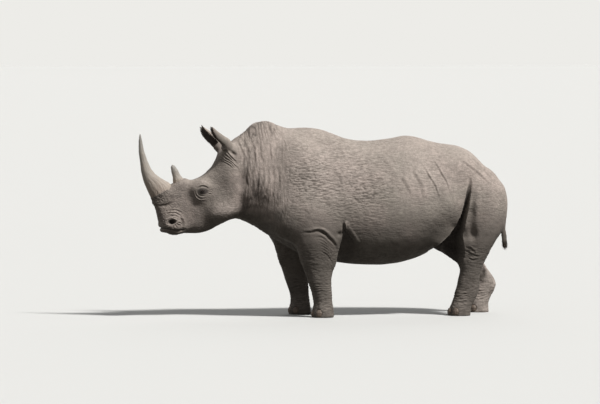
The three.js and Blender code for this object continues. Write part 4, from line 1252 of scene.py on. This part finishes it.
def make_bristles(name, roots, ways, lengths, width, droop, skin_points, skin_uv):
    """Tapered bent strands, one for each root, each mapped to its root's place on the skin."""
    n = len(roots)
    rings, sides = 5, 3
    ways = ways / length(ways)[:, None]
    side = np.cross(ways, RNG.normal(size=(n, 3)))
    side /= length(side)[:, None]
    other = np.cross(ways, side)
    bend = RNG.normal(size=(n, 3)) * 0.12 + np.array((0, 0, -droop))
    points = []
    tips = []
    for k in range(rings):
        t = k / rings
        core = roots + ways * (lengths * t)[:, None] + bend * (lengths * t * t)[:, None]
        thick = width * (1 - t) ** 0.7
        for j in range(sides):
            turn = math.tau * j / sides
            points.append(core + (side * math.cos(turn) + other * math.sin(turn)) * thick)
            tips.append(np.full(n, t))
    points.append(roots + ways * lengths[:, None] + bend * lengths[:, None])
    tips.append(np.ones(n))
    points = np.stack(points, 1)
    each = points.shape[1]
    faces = [(2, 1, 0)]
    for k in range(rings - 1):
        for j in range(sides):
            a, b = k * sides + j, k * sides + (j + 1) % sides
            faces += [(a, b, b + sides), (a, b + sides, a + sides)]
    last = (rings - 1) * sides
    faces += [(last + j, last + (j + 1) % sides, each - 1) for j in range(sides)]
    faces = np.array(faces)
    triangles = (faces[None] + np.arange(n)[:, None, None] * each).reshape(-1, 3)
    made = piece_of(name, points.reshape(-1, 3), triangles, {"tip": np.stack(tips, 1).ravel()})
    tree = KDTree(len(skin_points))
    for i, place in enumerate(skin_points):
        tree.insert(place, i)
    tree.balance()
    near = np.array([tree.find(root)[1] for root in roots])
    patch = np.array([(0, 0), (1, 0), (0, 1)]) * PATCH - PATCH / 2
    uv = skin_uv[near][:, None] + patch[np.arange(each) % 3]
    give_map(made, uv.reshape(-1, 2)[triangles.ravel()])
    return dressed(made, BRISTLE_PAINT)


def ear_fringe(net):
    """Bristles along both edges of each ear, longest at the tip."""
    roots, ways, lengths = [], [], []
    for side in SIDES:
        mine, spots, long = ear_spots(net.points, side)
        axes = ear_axes(side)[1]
        for edge in (-1, 1):
            rim = []
            for share in np.linspace(0.42, 0.985, 30):
                band = np.abs(spots[:, 0] - share * long) < 0.005
                score = edge * spots[band, 1] + 0.4 * spots[band, 2]
                rim.append(net.points[mine[band][score.argmax()]])
            rim = np.array(rim)
            for place in RNG.uniform(0, 1, EDGE_STRANDS) ** 0.7:
                t = place * (len(rim) - 1.001)
                k = int(t)
                spot = rim[k] + (rim[k + 1] - rim[k]) * (t - k)
                roots.append(spot + RNG.normal(size=3) * 0.0016)
                spread = (0.5 + 0.9 * place, edge * RNG.uniform(0.25, 0.7), RNG.uniform(-0.1, 0.35))
                ways.append(spread @ axes + RNG.normal(size=3) * 0.07)
                lengths.append(RNG.uniform(0.6, 1.0) * (0.008 + 0.018 * place ** 3))
    return (np.array(v) for v in (roots, ways, lengths))


def tail_tuft(net):
    """A thin brush of bristles round the tail's end."""
    tall = 0.07
    end = (net.points[:, 0] > TAIL_LOW.x) & (net.points[:, 2] < TAIL_LOW.z + tall)
    mine = net.points[end & (np.abs(net.points[:, 1]) < 0.05)]
    roots = mine[RNG.integers(0, len(mine), TAIL_STRANDS)]
    high = (roots[:, 2] - TAIL_LOW.z) / tall
    ways = np.stack([0.1 + RNG.normal(size=len(roots)) * 0.1, RNG.normal(size=len(roots)) * 0.1,
                     -np.ones(len(roots))], 1)
    return roots, ways, RNG.uniform(0.5, 1.0, len(roots)) * (0.045 + 0.02 * high)


def lashes():
    """A row of lashes along the edge of each upper lid."""
    roots, ways, lengths = [], [], []
    for side, way in SIDES.items():
        centre = np.array(EYES[side])
        for t in np.linspace(-1, 1, LASHES):
            across = 0.015 * t
            above = 0.0075 * (1 - t * t) + 0.0035
            proud = math.sqrt(LID_RADIUS ** 2 - across ** 2 - above ** 2)
            roots.append(centre + (across, way * proud, above))
            ways.append((0.5 * t + RNG.normal() * 0.1, way, -0.05 + RNG.normal() * 0.12))
            lengths.append(RNG.uniform(0.010, 0.016))
    return (np.array(v) for v in (roots, ways, lengths))


# ---- Stage ----

def make_stage():
    """A plain pale floor, an even pale sky and three soft lights. The key stands high over the
    left hip."""
    mesh = bpy.data.meshes.new("floor")
    wide = 500.0
    mesh.from_pydata([(-wide, -wide, 0), (wide, -wide, 0), (wide, wide, 0), (-wide, wide, 0)],
                     [], [(0, 1, 2, 3)])
    floor = bpy.data.objects.new("floor", mesh)
    bpy.context.scene.collection.objects.link(floor)
    p = Paint("floor")
    pale = p.mix(seen(p.tree), colour(84, 82, 77), colour(214, 213, 209))
    mesh.materials.append(p.finish(pale, 0.9, Specular_IOR_Level=0.1))

    world = bpy.data.worlds.new("studio")
    bpy.context.scene.world = world
    world.use_nodes = True
    nodes, links = world.node_tree.nodes, world.node_tree.links
    light = nodes["Background"]
    light.inputs["Color"].default_value = (*colour(238, 242, 248), 1)
    light.inputs["Strength"].default_value = 0.17
    backdrop = nodes.new("ShaderNodeBackground")
    backdrop.inputs["Color"].default_value = (*colour(237, 236, 232), 1)
    mixed = nodes.new("ShaderNodeMixShader")
    links.new(seen(world.node_tree), mixed.inputs[0])
    links.new(light.outputs[0], mixed.inputs[1])
    links.new(backdrop.outputs[0], mixed.inputs[2])
    links.new(mixed.outputs[0], nodes["World Output"].inputs["Surface"])

    for name, power, spread, towards in (
            ("key", 3.95, 8, (0.42, -0.48, 0.77)), ("fill", 0.12, 70, (-0.5, -0.8, 0.25)),
            ("back", 0.7, 60, (0.3, 0.86, 0.4))):
        lamp = bpy.data.lights.new(name, "SUN")
        lamp.energy = power
        lamp.angle = math.radians(spread)
        holder = bpy.data.objects.new(name, lamp)
        holder.rotation_euler = Vector(towards).to_track_quat("Z", "Y").to_euler()
        bpy.context.scene.collection.objects.link(holder)
    bpy.context.scene.view_settings.view_transform = "Standard"


def make_camera():
    """A long lens, nearly square to the left side and barely above level."""
    azimuth, rise, away = math.radians(-12), math.radians(2), 40.0
    low, high = (Vector(corner) for corner in CAD_BOX)
    ahead, level = 0.224, 1.02    # the place looked at: before the middle, above the floor
    aim = Vector(((low.x + high.x) / 2 - ahead, 0, level))
    way = Vector((math.sin(azimuth) * math.cos(rise), -math.cos(azimuth) * math.cos(rise),
                  math.sin(rise)))
    lens = bpy.data.cameras.new("camera")
    lens.lens = 268
    lens.sensor_width = 36
    lens.clip_end = 2000
    camera = bpy.data.objects.new("camera", lens)
    camera.location = aim + way * away
    camera.rotation_euler = (-way).to_track_quat("-Z", "Y").to_euler()
    bpy.context.scene.collection.objects.link(camera)
    bpy.context.scene.camera = camera


HORN_PAINT, NAIL_PAINT, EYE_PAINT, BRISTLE_PAINT = horn(), nail(), eye(), bristle()

make_camera()
make_stage()
skin_net, skin_map = make_skin()
rooting = rooting_of(skin_net, skin_map)
for horn_node in ("horn_front", "horn_rear"):
    make_horn(horn_node)
for limb in LIMBS:
    for toe in ("inner", "middle", "outer"):
        make_nail(limb.replace("leg", "nail") + "_" + toe)
for side, way in SIDES.items():
    make_eye(side, way)
make_bristles("ear_fringe", *ear_fringe(skin_net), 0.00042, 0.1, *rooting)
make_bristles("tail_tuft", *tail_tuft(skin_net), 0.0006, 0.1, *rooting)
make_bristles("lashes", *lashes(), 0.0005, 0.25, *rooting)
